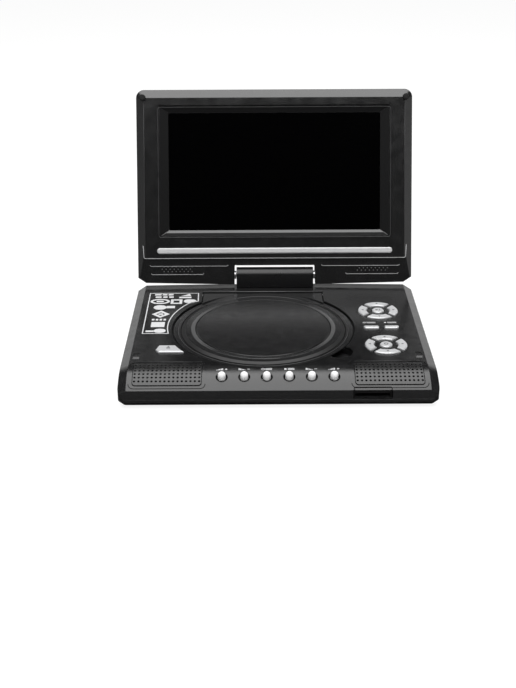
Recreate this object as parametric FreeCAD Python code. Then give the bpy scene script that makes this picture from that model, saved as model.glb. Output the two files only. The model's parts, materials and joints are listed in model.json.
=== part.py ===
import FreeCAD, Part
import math
import os

# A portable disc player: a flat base with a round disc door, keys and speakers,
# and a screen on a hinge that tilts and swivels. Sizes are in millimetres and degrees.
# While it is modelled, X is across the player from its middle, Y runs back from its front
# edge and Z up from the table. The last step moves it so that Y is 0 in the middle of its depth.

V = FreeCAD.Vector

# Disc, and the parts of the deck that follow from its size
DISC_R = 60.0
DISC_HOLE_R = 7.5
DISC_ROOM = 2.0
DISC_RIM = 7.0
WELL_R = DISC_R + DISC_ROOM
OPENING_R = WELL_R + DISC_RIM
WELL_X = -10.1

# Case height and rolled front
CASE_BOTTOM = 1.6
PARTING_Z = 7.0
DECK_Z = 21.5
WALL = 2.0
EDGE_CHAMFER = 3.4
ROLL_START_Y = 26.2
ROLL_R = 39.0
FACE_TOP_Y = 2.2
FACE_TOP_Z = 13.4
FRONT_CORNER_R = 6.0

# Keys right of the disc door
PAD_R = 15.4
PAD_GAP = 5.85
PAD_X = WELL_X + OPENING_R + PAD_GAP + PAD_R
PAD_INNER_R = 9.0
PAD_DIAGONAL = 1.7
PAD_CORE_R = 4.6

# Case width and depth: the door and the keys with a strip round them
SIDE_STRIP = 16.95
HINGE_STRIP = 14.9
DOOR_LAP = 5.1
WELL_Y = ROLL_START_Y - DOOR_LAP + OPENING_R
CASE_WIDTH = 2 * (PAD_X + PAD_R + SIDE_STRIP)
CASE_DEPTH = WELL_Y + OPENING_R + HINGE_STRIP
SIDE_X = CASE_WIDTH / 2
BACK_BOW = 2.5
BACK_CORNER_X = 6.6
BACK_CORNER_Y = 5.3
BEVEL_WIDTH = 6.1
BEVEL_DROP = 2.45
LIP_HEIGHT = 1.5
LIP_THICKNESS = 0.9
LIP_GAP = 0.15

# Hinge hump behind the middle of the case
HUMP_HALF = 20.0
HUMP_BACK_Y = CASE_DEPTH + 8.5
HUMP_R = 6.0

# Feet, screws and vents under the case
FOOT_R = 6.0
FOOT_INSET_X = 17.5
FOOT_FRONT_Y = 20.0
FOOT_BACK_Y = CASE_DEPTH - 22.0
FOOT_SINK = 1.0
FOOT_EDGE = 0.5
SCREW_R = 1.2
SCREW_HEAD_R = 2.4
SCREW_HEAD_H = 1.6
SCREW_SEAT_Z = 4.8
SCREW_END_Z = 15.5
SCREW_GAP = 0.35
CROSS_LENGTH = 3.2
CROSS_WIDTH = 0.6
CROSS_DEPTH = 0.9
BOSS_R = 3.6
BOSS_TOP_R = 3.0
BOSS_JOINT_Z = 9.0
SCREW_INSET_X = 8.0
SCREW_FRONT_Y = ROLL_START_Y + 7.8
SCREW_BACK_Y = CASE_DEPTH - 14.0
VENT_COUNT = 9
VENT_PITCH = 5.0
VENT_WIDTH = 2.0
VENT_LENGTH = 26.0
VENT_X = SIDE_X - 36.5
VENT_Y = WELL_Y + 5.9

# Disc well under the deck
WELL_WALL = 1.6
WELL_FLOOR_Z = DECK_Z - 7.7
WELL_STEP_R = WELL_R - 20.0
WELL_STEP = 0.6
LEDGE_T = 1.7
LEDGE_R = OPENING_R + 2.4
MOTOR_HOLE_GAP = 0.35
CUP_X = WELL_X + 55.1
CUP_Y = WELL_Y - 43.6
CUP_R = 10.0
CUP_WALL = 1.4
CUP_FLOOR_Z = DECK_Z - 6.0

# Disc door and its hinge
DOOR_GAP = 0.35
DOOR_EDGE_GAP = 0.8
DOOR_T = 1.7
DOOR_RIM_R = OPENING_R - 6.8
DOOR_RIM_DROP = 1.0
DOOR_SHOULDER = 3.0
DOOR_CENTRE_R = OPENING_R - 18.0
DOOR_CENTRE_RISE = 0.3
DOOR_GROOVE_W = 0.6
DOOR_GROOVE = 0.5
DOOR_RING_W = 3.5
DOOR_RING_H = 0.3
DOOR_SKIRT_R = WELL_R - 1.2
DOOR_SKIRT_H = 1.2
DOOR_SKIRT_T = 1.2
TAIL_HALF = 48.9
TAIL_BACK_Y = WELL_Y + OPENING_R + 0.4
DOOR_BARREL_R = 2.2
DOOR_PIN_R = 0.85
DOOR_PIN_IN_DOOR = 12.0
DOOR_PIN_IN_LUG = 4.0
DOOR_BORE_DEPTH = 14.0
HINGE_LUG = 5.0

# Catch of the disc door, its slider and guide
CATCH_R = OPENING_R - 4.8
CATCH_T = 1.4
CATCH_NOSE = 0.9
CATCH_NOSE_H = 1.0
CATCH_HALF = 3.0
CATCH_LOW_Z = DECK_Z - 6.1
CATCH_GAP = 0.7
LATCH_GAP = 0.3
LATCH_LENGTH = 17.0
LATCH_HALF = 4.0
LATCH_T = 1.6
LATCH_NIB_HALF = 3.0
GUIDE_IN_R = OPENING_R - 0.8
GUIDE_WALL = 1.6

# Disc hub and turntable
HUB_CLEARANCE = 0.1
HUB_BAND = 1.6
HUB_CONE = 1.0
HUB_CONE_IN = 1.6
HUB_HOLLOW_R = 3.7
JAW_COUNT = 3
JAW_HALF = 1.8
JAW_SLIT = 0.5
TABLE_TOP_Z = WELL_FLOOR_Z + 2.2
TABLE_R = 16.0
TABLE_T = 1.5
TABLE_GROOVE_IN_R = 8.5
TABLE_GROOVE_OUT_R = 12.0
TABLE_GROOVE = 0.4
SPINDLE_R = 1.0
SPINDLE_END_Z = 8.2

# Drive under the disc
RUN_GAP = 0.05
MOTOR_R = 11.5
MOTOR_TOP_Z = WELL_FLOOR_Z - 0.65
MOTOR_NECK_R = 3.0
MOTOR_NECK_H = 1.0
MOTOR_FLOOR = 1.0
CHASSIS_Z = 4.8
CHASSIS_T = 1.4
CHASSIS_HALF = 31.0
CHASSIS_BACK = 18.0
ROD_R = 1.5
ROD_X = 18.0
ROD_Z = 9.0
SADDLE_WIDTH = 6.0
SADDLE_LENGTH = 3.0
SLED_HALF = 13.0
SLED_LENGTH = 20.0
SLED_START = 23.0
SLED_TRAVEL = DISC_R - 26.0
SLED_BOTTOM_Z = 7.0
SLED_TOP_Z = 13.0
SLED_EAR_LENGTH = 10.0
SLED_EAR_WALL = 1.0
SLED_FINGER_LENGTH = 6.0
SLED_FINGER_GAP = 0.3
SLED_FINGER_TOP_Z = 10.0
SLED_SHOULDER_X = 9.0
SLED_SHOULDER_WIDTH = 4.0
SLED_SHOULDER_DEPTH = 0.8
CHASSIS_FRONT = SLED_START + SLED_TRAVEL + SLED_LENGTH / 2 + 2.0
CHASSIS_WINDOW_FRONT = CHASSIS_FRONT - 10.8
LENS_R = 3.4
LENS_H = 0.9
LENS_RIM = 0.8
LENS_RISE = 0.3
LENS_WELL_DEPTH = 1.0
LENS_WELL_GAP = 1.6
SLOT_HALF = 15.0
SLOT_MARGIN = 2.0
SLOT_CORNER = 4.0
SCREW_SHAFT_R = 1.5
SCREW_X = 25.0
SCREW_Z = 9.0
SCREW_SADDLE_WIDTH = 4.0
SCREW_SADDLE_TOP_Z = 12.0
SCREW_SOCKET = 3.0
SLED_MOTOR_R = 3.8
SLED_MOTOR_LENGTH = 12.0

# Pockets beside the speakers, each with a small lip in front
POCKET_X = SIDE_X - 10.5
POCKET_WIDTH = 4.6
POCKET_FRONT_Y = ROLL_START_Y + 12.2
POCKET_LENGTH = 8.0
POCKET_DEPTH = 0.5
POCKET_LIP_WIDTH = 1.1
POCKET_LIP_HEIGHT = 0.9

# Keys
KEY_GAP = 0.55
KEY_PROUD = 1.3
KEY_FLANGE = 1.0
KEY_FLANGE_T = 1.0
KEY_FLANGE_GAP = 0.3
KEY_EDGE = 0.7
KEY_TRAVEL = 0.8
STEM_R = 1.2
PAD_Y = (WELL_Y + 28.9, WELL_Y - 33.1)
MENU_Y = WELL_Y - 2.3
MENU_H = 4.0
MENU_X = ((PAD_X - 14.15, PAD_X - 2.15), (PAD_X + 2.05, PAD_X + 13.35))
MENU_SLANT = 1.3
MENU_CORNER = 0.9
OPEN_FRONT_Y = WELL_Y - 44.2
OPEN_BACK_Y = WELL_Y - 33.5
OPEN_LEFT_Y = WELL_Y - 40.5
OPEN_FRONT_X = WELL_X - OPENING_R - 7.5
OPEN_BACK_X = WELL_X - OPENING_R - 7.9
OPEN_LEFT_X = WELL_X - OPENING_R - 9.8
OPEN_SHORT_X = WELL_X - OPENING_R + 11.1
OPEN_RIGHT_X = WELL_X - OPENING_R + 15.3
OPEN_CORNER = 1.0
OPEN_KEY_GAP = 3.9
OPEN_POST_R = OPENING_R + 9.2
OPEN_POST_T = 2.0
ROUND_PITCH = 15.8
ROUND_MIDDLE_X = -0.2
ROUND_COUNT = 6
ROUND_ARC = 14.5
ROUND_R = 2.8
ROUND_PROUD = 4.7
ROUND_RECESS_R = 4.2
ROUND_RECESS = 0.7
ROUND_GAP = 0.3
ROUND_BELOW = 2.6
ROUND_FLANGE_R = 4.3
BOARD_T = 1.2
KEY_BOARD_Z = DECK_Z - 7.1
KEY_BOARD_MARGIN = 2.0
SWITCH_SIZE = 4.5
SWITCH_H = 1.2
SWITCH_CAN_H = 0.96
STRIP_FRONT = 4.0
STRIP_BACK = 3.0
STRIP_SWITCH = 4.0
STRIP_DEPTH = 4.75

# Speakers
GRILLE_X = SIDE_X - 34.4
GRILLE_WIDTH = 49.0
GRILLE_ARC_FRONT = 21.9
GRILLE_ARC_BACK = -1.4
GRILLE_CORNER = 2.5
GRILLE_GAP = 0.45
GRILLE_PROUD = 0.4
GRILLE_T = 1.8
GRILLE_FLANGE = 1.5
GRILLE_FLANGE_T = 0.8
HOLE_R = 0.85
HOLE_PITCH_X = 3.03
HOLE_PITCH_ARC = 3.4
HOLE_COLUMNS = 16
HOLE_ROWS = 6
HOLE_SIDES = 6
FIRST_ROW_ARC = 1.3
SPEAKER_WIDTH = 44.0
SPEAKER_HEIGHT = 17.0
SPEAKER_RIM = 2.0
SPEAKER_FRAME_T = 1.2
SPEAKER_DROP = 3.85
SPEAKER_CONE_DEPTH = 3.0
CONE_BOTTOM_HALF = 7.0
OVAL_FLAT = 0.5
DUST_CAP_R = 3.4
DUST_CAP_H = 1.0
MAGNET_R = 6.0
MAGNET_T = 1.0

# Card slot in the front face
CARD_RIGHT_X = SIDE_X - 32.9
CARD_LEFT_X = CARD_RIGHT_X - 27.6
CARD_TOP_Z = 13.2
CARD_LOW_Z = 6.8
CARD_DEPTH = 3.4
CARD_PLATE_T = 0.9
CARD_PLATE_GAP = 0.2
CARD_SLOT_Z = 8.95
CARD_WIDTH = 24.6
CARD_T = 2.4
CARD_READER_WALL = 0.55
CARD_READER_BACK_Y = 28.0
CARD_READER_INSET = 0.3
HOOD_T = 1.2
HOOD_PROUD = 0.5

# Sockets and power switch in the side walls
SOCKET_INSET = 0.2
SOCKET_NOSE = 2.8
SOCKET_SHOULDER = 0.3
JACK_R = 1.8
JACK_BODY_HALF = 3.5
JACK_COLLAR_HALF = 3.3
JACK_CORNER = 0.8
JACK_LENGTH = 13.0
JACK_Z = 12.0
JACK_Y = (WELL_Y - 38.1, WELL_Y - 24.1)
INLET_R = 2.9
INLET_WALL = 1.0
INLET_PIN_R = 0.65
INLET_PIN_INSET = 2.0
INLET_LENGTH = 11.0
INLET_Y = CASE_DEPTH - 34.0
INLET_Z = 13.0
SWITCH_Y = CASE_DEPTH - 56.0
SWITCH_Z = 12.5
SWITCH_SLOT = 10.0
SWITCH_KNOB = 5.0
SWITCH_KNOB_H = 3.0
SWITCH_PROUD = 1.0
SWITCH_TRAVEL = 3.0
SWITCH_PLATE_T = 1.9
SWITCH_PLATE_GAP = 0.4
RIDGE_COUNT = 3
RIDGE_PITCH = 1.2
RIDGE_WIDTH = 0.6
RIDGE_DEPTH = 0.4

# Boards and battery
BOARD_LEFT_X = WELL_X + WELL_R + WELL_WALL + 3.6
BOARD_RIGHT_X = SIDE_X - 10.0
BOARD_FRONT_Y = ROLL_START_Y + 18.6
BOARD_BACK_Y = FOOT_BACK_Y - FOOT_R - 2 * WALL
BOARD_Z = 5.6
BOARD_POST_R = 1.0
BOARD_POST_INSET = 2.0
CHIP_SIZES = (12.0, 9.0, 7.0)
CHIP_H = 1.4
BATTERY_LEFT_X = -SIDE_X + 4.0
BATTERY_RIGHT_X = WELL_X - LEDGE_R - 2.0
BATTERY_FRONT_Y = WELL_Y - 8.6
BATTERY_BACK_Y = CASE_DEPTH - 24.8
BATTERY_LOW_Z = 5.75
BATTERY_CORNER = 3.0

# Screen hinge
TILT_Y = CASE_DEPTH + 1.4
TILT_Z = DECK_Z + 8.56
LEAN = 21.07
BARREL_R = 6.4
BLOCK_HALF = 31.5
BLOCK_FOOT_Z = DECK_Z + 0.5
BLOCK_FOOT_Y = CASE_DEPTH - 6.8
SWIVEL_Y = CASE_DEPTH - 1.7
POST_R = 4.8
POST_GAP = 0.1
POST_BORE_R = 2.2
POST_END = 1.0
WASHER_R = 8.0
WASHER_T = 1.4
WASHER_GAP = 0.3
SHAFT_R = 1.5
SHAFT_GAP = 0.05
SHAFT_INNER_X = 20.0
SHAFT_OUTER_X = 44.0
KNUCKLE_R = 3.3
KNUCKLE_GAP = 0.3
TUBE_R = 2.4
TUBE_OUTER_X = 45.0
BRACKET_WIDTH = 6.0
BRACKET_UP = 24.0
BRACKET_T = 2.0

# Screen half, measured on its front face: X across, then up from its lower edge, then depth
LID_WIDTH = CASE_WIDTH
LID_DEPTH = 15.0
LID_WALL = 1.8
LID_AXIS_UP = 6.3
LID_AXIS_DEPTH = 5.5
LID_LAP = 1.5
LID_HEIGHT = TILT_Y + LID_AXIS_UP - ROLL_START_Y + LID_LAP
LID_PARTING = 6.0
LID_TOP_R = 6.5
LID_FACE_TOP_R = 2.2
LID_CORNER_X = 6.5
LID_CORNER_UP = 4.3
LID_BOW = 1.6
LID_BEVEL_SIDE = 6.3
LID_BEVEL_TOP = 6.7
LID_BEVEL_DROP = 2.4
BACK_BEVEL = 7.0
BACK_BEVEL_DEPTH = 5.0
BACK_LOW_BEVEL = 9.0
BACK_LOW_DEPTH = 10.0
NOTCH_HALF = BLOCK_HALF + 1.7
NOTCH_TOP = 14.6
NOTCH_R = 1.5
STEP_UP = 20.0
STEP_END_UP = 31.0
STEP_END_X = LID_WIDTH / 2 - 5.0
STEP_TURN = 1.0
STEP_CORNER = 1.5
STEP_DEPTH = 0.7
STEP_SLOPE_DEPTH = 2.2
LOWER_SKIN = 4.0
WINDOW_HALF = LID_WIDTH / 2 - 18.0
WINDOW_LOW = 37.2
WINDOW_HIGH = LID_HEIGHT - 12.7
WINDOW_R = 2.0
WINDOW_STEP = 0.6
WINDOW_LEDGE = 1.0
SCREEN_HALF = WINDOW_HALF - 8.0
SCREEN_LOW = WINDOW_LOW + 5.8
SCREEN_HIGH = WINDOW_HIGH - 6.1
SCREEN_CORNER = 1.0
SCREEN_DEPTH = 2.4
SCREEN_SKIN = 0.5
PANEL_MARGIN = 4.0
PANEL_T = 1.4
BACKLIGHT_MARGIN = 5.0
BACKLIGHT_T = 3.6
BACKLIGHT_FLOOR = 2.0
BACKLIGHT_RIM = 12.0
BACKLIGHT_CORNER = 3.0
BAR_HALF = LID_WIDTH / 2 - 16.0
BAR_LOW = 23.9
BAR_HEIGHT = 4.6
BAR_PROUD = 0.7
BAR_SINK = 0.7
BUFFER_X = LID_WIDTH / 2 - 5.5
BUFFER_UP = LID_HEIGHT - 6.6
BUFFER_R = 2.5
BUFFER_PROUD = 2.7
BUFFER_SINK = 1.2
BUFFER_EDGE = 0.8
GROOVE_W = 0.8
GROOVE_DEPTH = 0.5
GROOVE_UP = (14.2, 7.4)
GROOVE_INNER_X = (38.3, 58.3)
GROOVE_OUTER_INSET = (9.8, 10.8)

# Overlap that joins touching solids, and a length beyond every solid
FINE = 0.02
FAR = 300.0


def box(x0, x1, y0, y1, z0, z1):
    return Part.makeBox(x1 - x0, y1 - y0, z1 - z0, V(x0, y0, z0))


def cylinder(x, y, z0, z1, r):
    return Part.makeCylinder(r, z1 - z0, V(x, y, z0))


def rod_x(x0, x1, y, z, r):
    return Part.makeCylinder(r, x1 - x0, V(x0, y, z), V(1, 0, 0))


def rod_y(y0, y1, x, z, r):
    return Part.makeCylinder(r, y1 - y0, V(x, y0, z), V(0, 1, 0))


def line(a, b):
    return Part.LineSegment(a, b).toShape()


def arc(a, middle, b):
    return Part.Arc(a, middle, b).toShape()


def chain(points):
    """Straight edges from each point to the next."""
    return [line(a, b) for a, b in zip(points, points[1:])]


def fuse(shapes):
    """One solid out of several that touch or overlap."""
    first = shapes[0]
    if len(shapes) > 1:
        first = first.fuse(shapes[1:])
    return first.removeSplitter()


def outline(corners):
    """A closed outline in XY. A corner is (x, y) or (x, y, radius of its rounding)."""
    points = [V(c[0], c[1], 0) for c in corners]
    count = len(points)
    arcs = {}
    ends = []
    for i, corner in enumerate(corners):
        here = points[i]
        radius = corner[2] if len(corner) > 2 else 0
        if not radius:
            ends.append((here, here))
            continue
        back = (points[i - 1] - here).normalize()
        ahead = (points[(i + 1) % count] - here).normalize()
        half = back.getAngle(ahead) / 2
        run = radius / math.tan(half)
        middle = (back + ahead).normalize() * (radius / math.sin(half) - radius)
        start, stop = here + back * run, here + ahead * run
        arcs[i] = arc(start, here + middle, stop)
        ends.append((start, stop))
    edges = []
    for i in range(count):
        if i in arcs:
            edges.append(arcs[i])
        start, stop = ends[i][1], ends[(i + 1) % count][0]
        if start.distanceToPoint(stop) > FINE:
            edges.append(line(start, stop))
    return Part.Wire(edges)


def rounded(x0, x1, y0, y1, r):
    return outline([(x0, y0, r), (x1, y0, r), (x1, y1, r), (x0, y1, r)])


def circle_wire(r):
    return Part.Wire([Part.Circle(V(0, 0, 0), V(0, 0, 1), r).toShape()])


def moved(wire, x, y, z=0.0):
    copy = wire.copy()
    copy.translate(V(x, y, z))
    return copy


def prism(wire, z0, z1):
    return Part.Face(moved(wire, 0, 0, z0)).extrude(V(0, 0, z1 - z0))


def taper(wires_at):
    """A solid with straight sides through outlines at several heights."""
    return Part.makeLoft([moved(w, 0, 0, z) for w, z in wires_at], True, True)


def across(points, x0, x1):
    """A solid of constant section: points are (y, z), and it runs from x0 to x1."""
    section = Part.makePolygon([V(x0, y, z) for y, z in points + points[:1]])
    return Part.Face(section).extrude(V(x1 - x0, 0, 0))


def mirrored_pairs(x, inner=0.0):
    """(low, high) along X for a piece on the left and its twin on the right."""
    return ((-x, -inner), (inner, x))


def plan_wire(inset):
    """The case seen from above, with chamfered back corners and a bowed back edge."""
    half = CASE_WIDTH / 2
    corner_x = half - BACK_CORNER_X
    corner_y = CASE_DEPTH - BACK_CORNER_Y
    left = [V(-corner_x, CASE_DEPTH, 0), V(-half, corner_y, 0), V(-half, FRONT_CORNER_R, 0)]
    right = [V(half, FRONT_CORNER_R, 0), V(half, corner_y, 0), V(corner_x, CASE_DEPTH, 0)]
    front = [V(-half + FRONT_CORNER_R, 0, 0), V(half - FRONT_CORNER_R, 0, 0)]
    bend = FRONT_CORNER_R * (1 - math.sqrt(0.5))
    edges = [arc(right[-1], V(0, CASE_DEPTH + BACK_BOW, 0), left[0])]
    edges += chain(left)
    edges.append(arc(left[-1], V(-half + bend, bend, 0), front[0]))
    edges += chain(front)
    edges.append(arc(front[1], V(half - bend, bend, 0), right[0]))
    edges += chain(right)
    wire = Part.Wire(edges)
    return wire.makeOffset2D(-inset, 2) if inset else wire


def roll_profile(x, inset, drop):
    """The case seen from the side: sloped front face, rolled front, flat deck."""
    foot_z = CASE_BOTTOM + EDGE_CHAMFER
    lean = FACE_TOP_Y / (FACE_TOP_Z - foot_z)
    shift = inset * math.sqrt(1 + lean * lean)
    r = ROLL_R - inset
    centre_z = DECK_Z - ROLL_R - drop
    # the sloped face meets the roll where both give the same Y
    offset = shift - lean * foot_z - ROLL_START_Y
    a = 1 + lean * lean
    b = 2 * (lean * offset - centre_z)
    c = offset * offset + centre_z * centre_z - r * r
    z = (-b + math.sqrt(b * b - 4 * a * c)) / (2 * a)
    y = lean * (z - foot_z) + shift
    half_angle = math.atan2(ROLL_START_Y - y, z - centre_z) / 2
    middle = V(x, ROLL_START_Y - r * math.sin(half_angle), centre_z + r * math.cos(half_angle))
    top = centre_z + r
    back = HUMP_BACK_Y + WALL
    joint = V(x, y, z)
    start = V(x, ROLL_START_Y, top)
    corners = [start, V(x, back, top), V(x, back, 0), V(x, shift - lean * foot_z, 0), joint]
    return Part.Wire([arc(joint, middle, start)] + chain(corners))


def case_solid(inset):
    """The whole closed case, every surface moved in by inset."""
    half = CASE_WIDTH / 2 - inset
    slope = BEVEL_DROP / BEVEL_WIDTH
    flat = CASE_WIDTH / 2 - BEVEL_WIDTH - inset * math.tan(math.atan(slope) / 2)
    drop = (half - flat) * slope
    core = Part.Face(roll_profile(-flat, inset, 0)).extrude(V(2 * flat, 0, 0))
    sides = []
    for sign in (-1, 1):
        ends = [roll_profile(sign * flat, inset, 0), roll_profile(sign * half, inset, drop)]
        sides.append(Part.makeLoft(ends, True, True))
    body = core.fuse(sides)
    bottom = CASE_BOTTOM + inset
    low_inset = EDGE_CHAMFER + inset * (math.sqrt(2) - 1)
    chamfer_top = bottom + low_inset - inset
    foot = taper([(plan_wire(low_inset), bottom), (plan_wire(inset), chamfer_top)])
    walls = foot.fuse(prism(plan_wire(inset), chamfer_top, DECK_Z + WALL))
    hump_half = HUMP_HALF - inset
    hump = rounded(-hump_half, hump_half, TAIL_BACK_Y - HUMP_R, HUMP_BACK_Y - inset, HUMP_R - inset)
    walls = walls.fuse(prism(hump, bottom, DECK_Z + WALL))
    return body.common(walls).removeSplitter()


def roll_place(along):
    """Point on the rolled front at an arc length forward from where the roll starts."""
    angle = along / ROLL_R
    return V(0, ROLL_START_Y - ROLL_R * math.sin(angle), DECK_Z - ROLL_R + ROLL_R * math.cos(angle))


def on_roll(shape, x, along):
    """Put a shape modelled on the XY plane onto the rolled front, with its Z along the normal."""
    shape.rotate(V(0, 0, 0), V(1, 0, 0), math.degrees(along / ROLL_R))
    shape.translate(roll_place(along) + V(x, 0, 0))
    return shape


def grille_middle():
    return (GRILLE_ARC_FRONT + GRILLE_ARC_BACK) / 2


def grille_block(side, grow):
    """A tilted block through the front wall where a speaker grille goes."""
    half_arc = GRILLE_ARC_FRONT - grille_middle() + grow
    half = GRILLE_WIDTH / 2 + grow
    wire = rounded(-half, half, -half_arc, half_arc, GRILLE_CORNER + grow)
    return on_roll(prism(wire, -5 * WALL, 2 * WALL), side * GRILLE_X, grille_middle())


def pad_wire(quarter, grow):
    """One of four ring keys, bounded by two arcs and two straight diagonal gaps."""
    offset = PAD_DIAGONAL - grow
    root = math.sqrt(0.5)
    corners = []
    for r in (PAD_R + grow, PAD_INNER_R - grow):
        along = math.sqrt(r * r - offset * offset)
        corners.append(V((along - offset) * root, (along + offset) * root, 0))
    outer, inner = corners
    outer_left, inner_left = [V(-p.x, p.y, 0) for p in corners]
    edges = [arc(outer, V(0, PAD_R + grow, 0), outer_left), line(outer_left, inner_left),
             arc(inner_left, V(0, PAD_INNER_R - grow, 0), inner), line(inner, outer)]
    wire = Part.Wire(edges)
    wire.rotate(V(0, 0, 0), V(0, 0, 1), quarter * 90)
    return wire


def pad_places():
    """The middle of each ring key, as an offset from the middle of its pad."""
    reach = (PAD_R + PAD_INNER_R) / 2
    turns = [math.radians(90 + quarter * 90) for quarter in range(4)]
    return [(reach * math.cos(turn), reach * math.sin(turn)) for turn in turns]


def menu_wire(side, grow):
    """A flat key whose outer end is slanted."""
    x0, x1 = MENU_X[side]
    half = (x1 - x0) / 2 + grow
    up = MENU_H / 2 + grow
    cut_left, cut_right = (MENU_SLANT, 0) if side == 0 else (0, MENU_SLANT)
    corners = [(-half + cut_left, -up), (half - cut_right, -up), (half, up), (-half, up)]
    return moved(outline([(x, y, MENU_CORNER) for x, y in corners]), (x0 + x1) / 2, MENU_Y)


def open_wire(grow):
    """The open key: three straight sides, and a curved one along the disc door."""
    reach = OPENING_R + OPEN_KEY_GAP - min(grow, KEY_GAP)
    front, back = OPEN_FRONT_Y - grow, OPEN_BACK_Y + grow
    corners = [(OPEN_FRONT_X - grow, front, OPEN_CORNER), (OPEN_RIGHT_X, front), (OPEN_SHORT_X, back),
               (OPEN_BACK_X - grow, back, OPEN_CORNER), (OPEN_LEFT_X - grow, OPEN_LEFT_Y, OPEN_CORNER)]
    circle = Part.Face(moved(circle_wire(reach), WELL_X, WELL_Y))
    return Part.Face(outline(corners)).cut(circle).Faces[0].OuterWire


def key_solid(wire, flange):
    """A key in the deck: a cap with a bevelled edge, and a wider flange under the deck."""
    under = DECK_Z - WALL - KEY_FLANGE_GAP
    top = DECK_Z + KEY_PROUD
    cap = prism(wire, under - FINE, top)
    rim = [e for e in cap.Edges if e.BoundBox.ZMin > top - FINE]
    cap = cap.makeChamfer(KEY_EDGE, rim)
    return fuse([cap, prism(flange, under - KEY_FLANGE_T, under)])


def key_stem(x, y):
    """The rod under a key, which stops short of its switch by more than the key's travel."""
    top = DECK_Z - WALL - KEY_FLANGE_GAP - KEY_FLANGE_T
    low = KEY_BOARD_Z + BOARD_T + SWITCH_H + KEY_TRAVEL + KEY_GAP / 2
    return cylinder(x, y, low, top + FINE, STEM_R)


def pad_key(pad, quarter):
    x, y = PAD_X, PAD_Y[pad]
    dx, dy = pad_places()[quarter]
    cap = moved(pad_wire(quarter, 0), x, y)
    flange = moved(pad_wire(quarter, KEY_FLANGE), x, y)
    return fuse([key_solid(cap, flange), key_stem(x + dx, y + dy)])


def pad_core(pad):
    x, y = PAD_X, PAD_Y[pad]
    cap = moved(circle_wire(PAD_CORE_R), x, y)
    flange = moved(circle_wire(PAD_CORE_R + KEY_FLANGE), x, y)
    return fuse([key_solid(cap, flange), key_stem(x, y)])


def menu_key(side):
    stem = key_stem(sum(MENU_X[side]) / 2, MENU_Y)
    return fuse([key_solid(menu_wire(side, 0), menu_wire(side, KEY_FLANGE)), stem])


def switch_places():
    """Where the deck keys press, for the switches on the key board."""
    places = [(sum(ends) / 2, MENU_Y) for ends in MENU_X]
    for y in PAD_Y:
        places.append((PAD_X, y))
        places += [(PAD_X + dx, y + dy) for dx, dy in pad_places()]
    return places


def round_x(i):
    return ROUND_MIDDLE_X + (i - (ROUND_COUNT - 1) / 2) * ROUND_PITCH


def round_key(i):
    """A bullet-shaped key that stands square to the rolled front."""
    foot = -ROUND_BELOW - KEY_FLANGE_T
    shoulder = ROUND_PROUD - ROUND_R
    half = ROUND_R * math.sqrt(0.5)
    corners = [V(0, 0, ROUND_PROUD), V(0, 0, foot), V(ROUND_FLANGE_R, 0, foot),
               V(ROUND_FLANGE_R, 0, -ROUND_BELOW), V(ROUND_R, 0, -ROUND_BELOW), V(ROUND_R, 0, shoulder)]
    dome = arc(corners[-1], V(half, 0, shoulder + half), corners[0])
    section = Part.Face(Part.Wire(chain(corners) + [dome]))
    return on_roll(section.revolve(V(0, 0, 0), V(0, 0, 1), 360), round_x(i), ROUND_ARC)


def chopped(shape, back_y):
    """The part of a shape in front of a plane across the case."""
    return shape.common(box(-FAR, FAR, -FAR, back_y, -FAR, FAR))


def deck_openings():
    """Everything that is cut through the top case."""
    low, high = DECK_Z - 3 * WALL, DECK_Z + 3 * WALL
    cuts = [chopped(cylinder(WELL_X, WELL_Y, low, high, OPENING_R), TAIL_BACK_Y)]
    cuts.append(box(WELL_X - TAIL_HALF, WELL_X + TAIL_HALF, WELL_Y, TAIL_BACK_Y, low, high))
    cuts.append(cylinder(CUP_X, CUP_Y, low, high, CUP_R))
    for y in PAD_Y:
        cuts.append(cylinder(PAD_X, y, low, high, PAD_CORE_R + KEY_GAP))
        for quarter in range(4):
            cuts.append(prism(moved(pad_wire(quarter, KEY_GAP), PAD_X, y), low, high))
    cuts += [prism(menu_wire(side, KEY_GAP), low, high) for side in (0, 1)]
    cuts.append(prism(open_wire(KEY_GAP), low, high))
    for i in range(ROUND_COUNT):
        hole = Part.makeCylinder(ROUND_R + ROUND_GAP, 6 * WALL, V(0, 0, -3 * WALL))
        recess = Part.makeCylinder(ROUND_RECESS_R, 2 * WALL, V(0, 0, -ROUND_RECESS))
        cuts.append(on_roll(hole.fuse(recess), round_x(i), ROUND_ARC))
    cuts += [grille_block(side, 0) for side in (-1, 1)]
    cuts.append(cylinder(0, SWIVEL_Y, low, high, POST_R + POST_GAP))
    for side in (-1, 1):
        x0, x1 = side * POCKET_X - POCKET_WIDTH / 2, side * POCKET_X + POCKET_WIDTH / 2
        back = POCKET_FRONT_Y + POCKET_LENGTH
        cuts.append(box(x0, x1, POCKET_FRONT_Y, back, DECK_Z - POCKET_DEPTH, high))
    return cuts


def pocket_lips():
    """A low ridge with sloped sides in front of each pocket."""
    back = POCKET_FRONT_Y
    front = back - POCKET_LIP_WIDTH
    top = DECK_Z + POCKET_LIP_HEIGHT
    low = DECK_Z - POCKET_DEPTH
    section = [(front - POCKET_LIP_HEIGHT, DECK_Z - FINE), (front, top), (back, top), (back, low),
               (front - POCKET_LIP_HEIGHT, low)]
    half = POCKET_WIDTH / 2
    return [across(section, side * POCKET_X - half, side * POCKET_X + half) for side in (-1, 1)]


def jack_collar(x0, x1, y, grow):
    """The square collar of a jack socket with rounded corners, along X; grow makes its opening."""
    half = JACK_COLLAR_HALF + grow
    block = box(x0, x1, y - half, y + half, JACK_Z - half, JACK_Z + half)
    return block.makeFillet(JACK_CORNER, [e for e in block.Edges if e.BoundBox.XLength > FINE])


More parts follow.
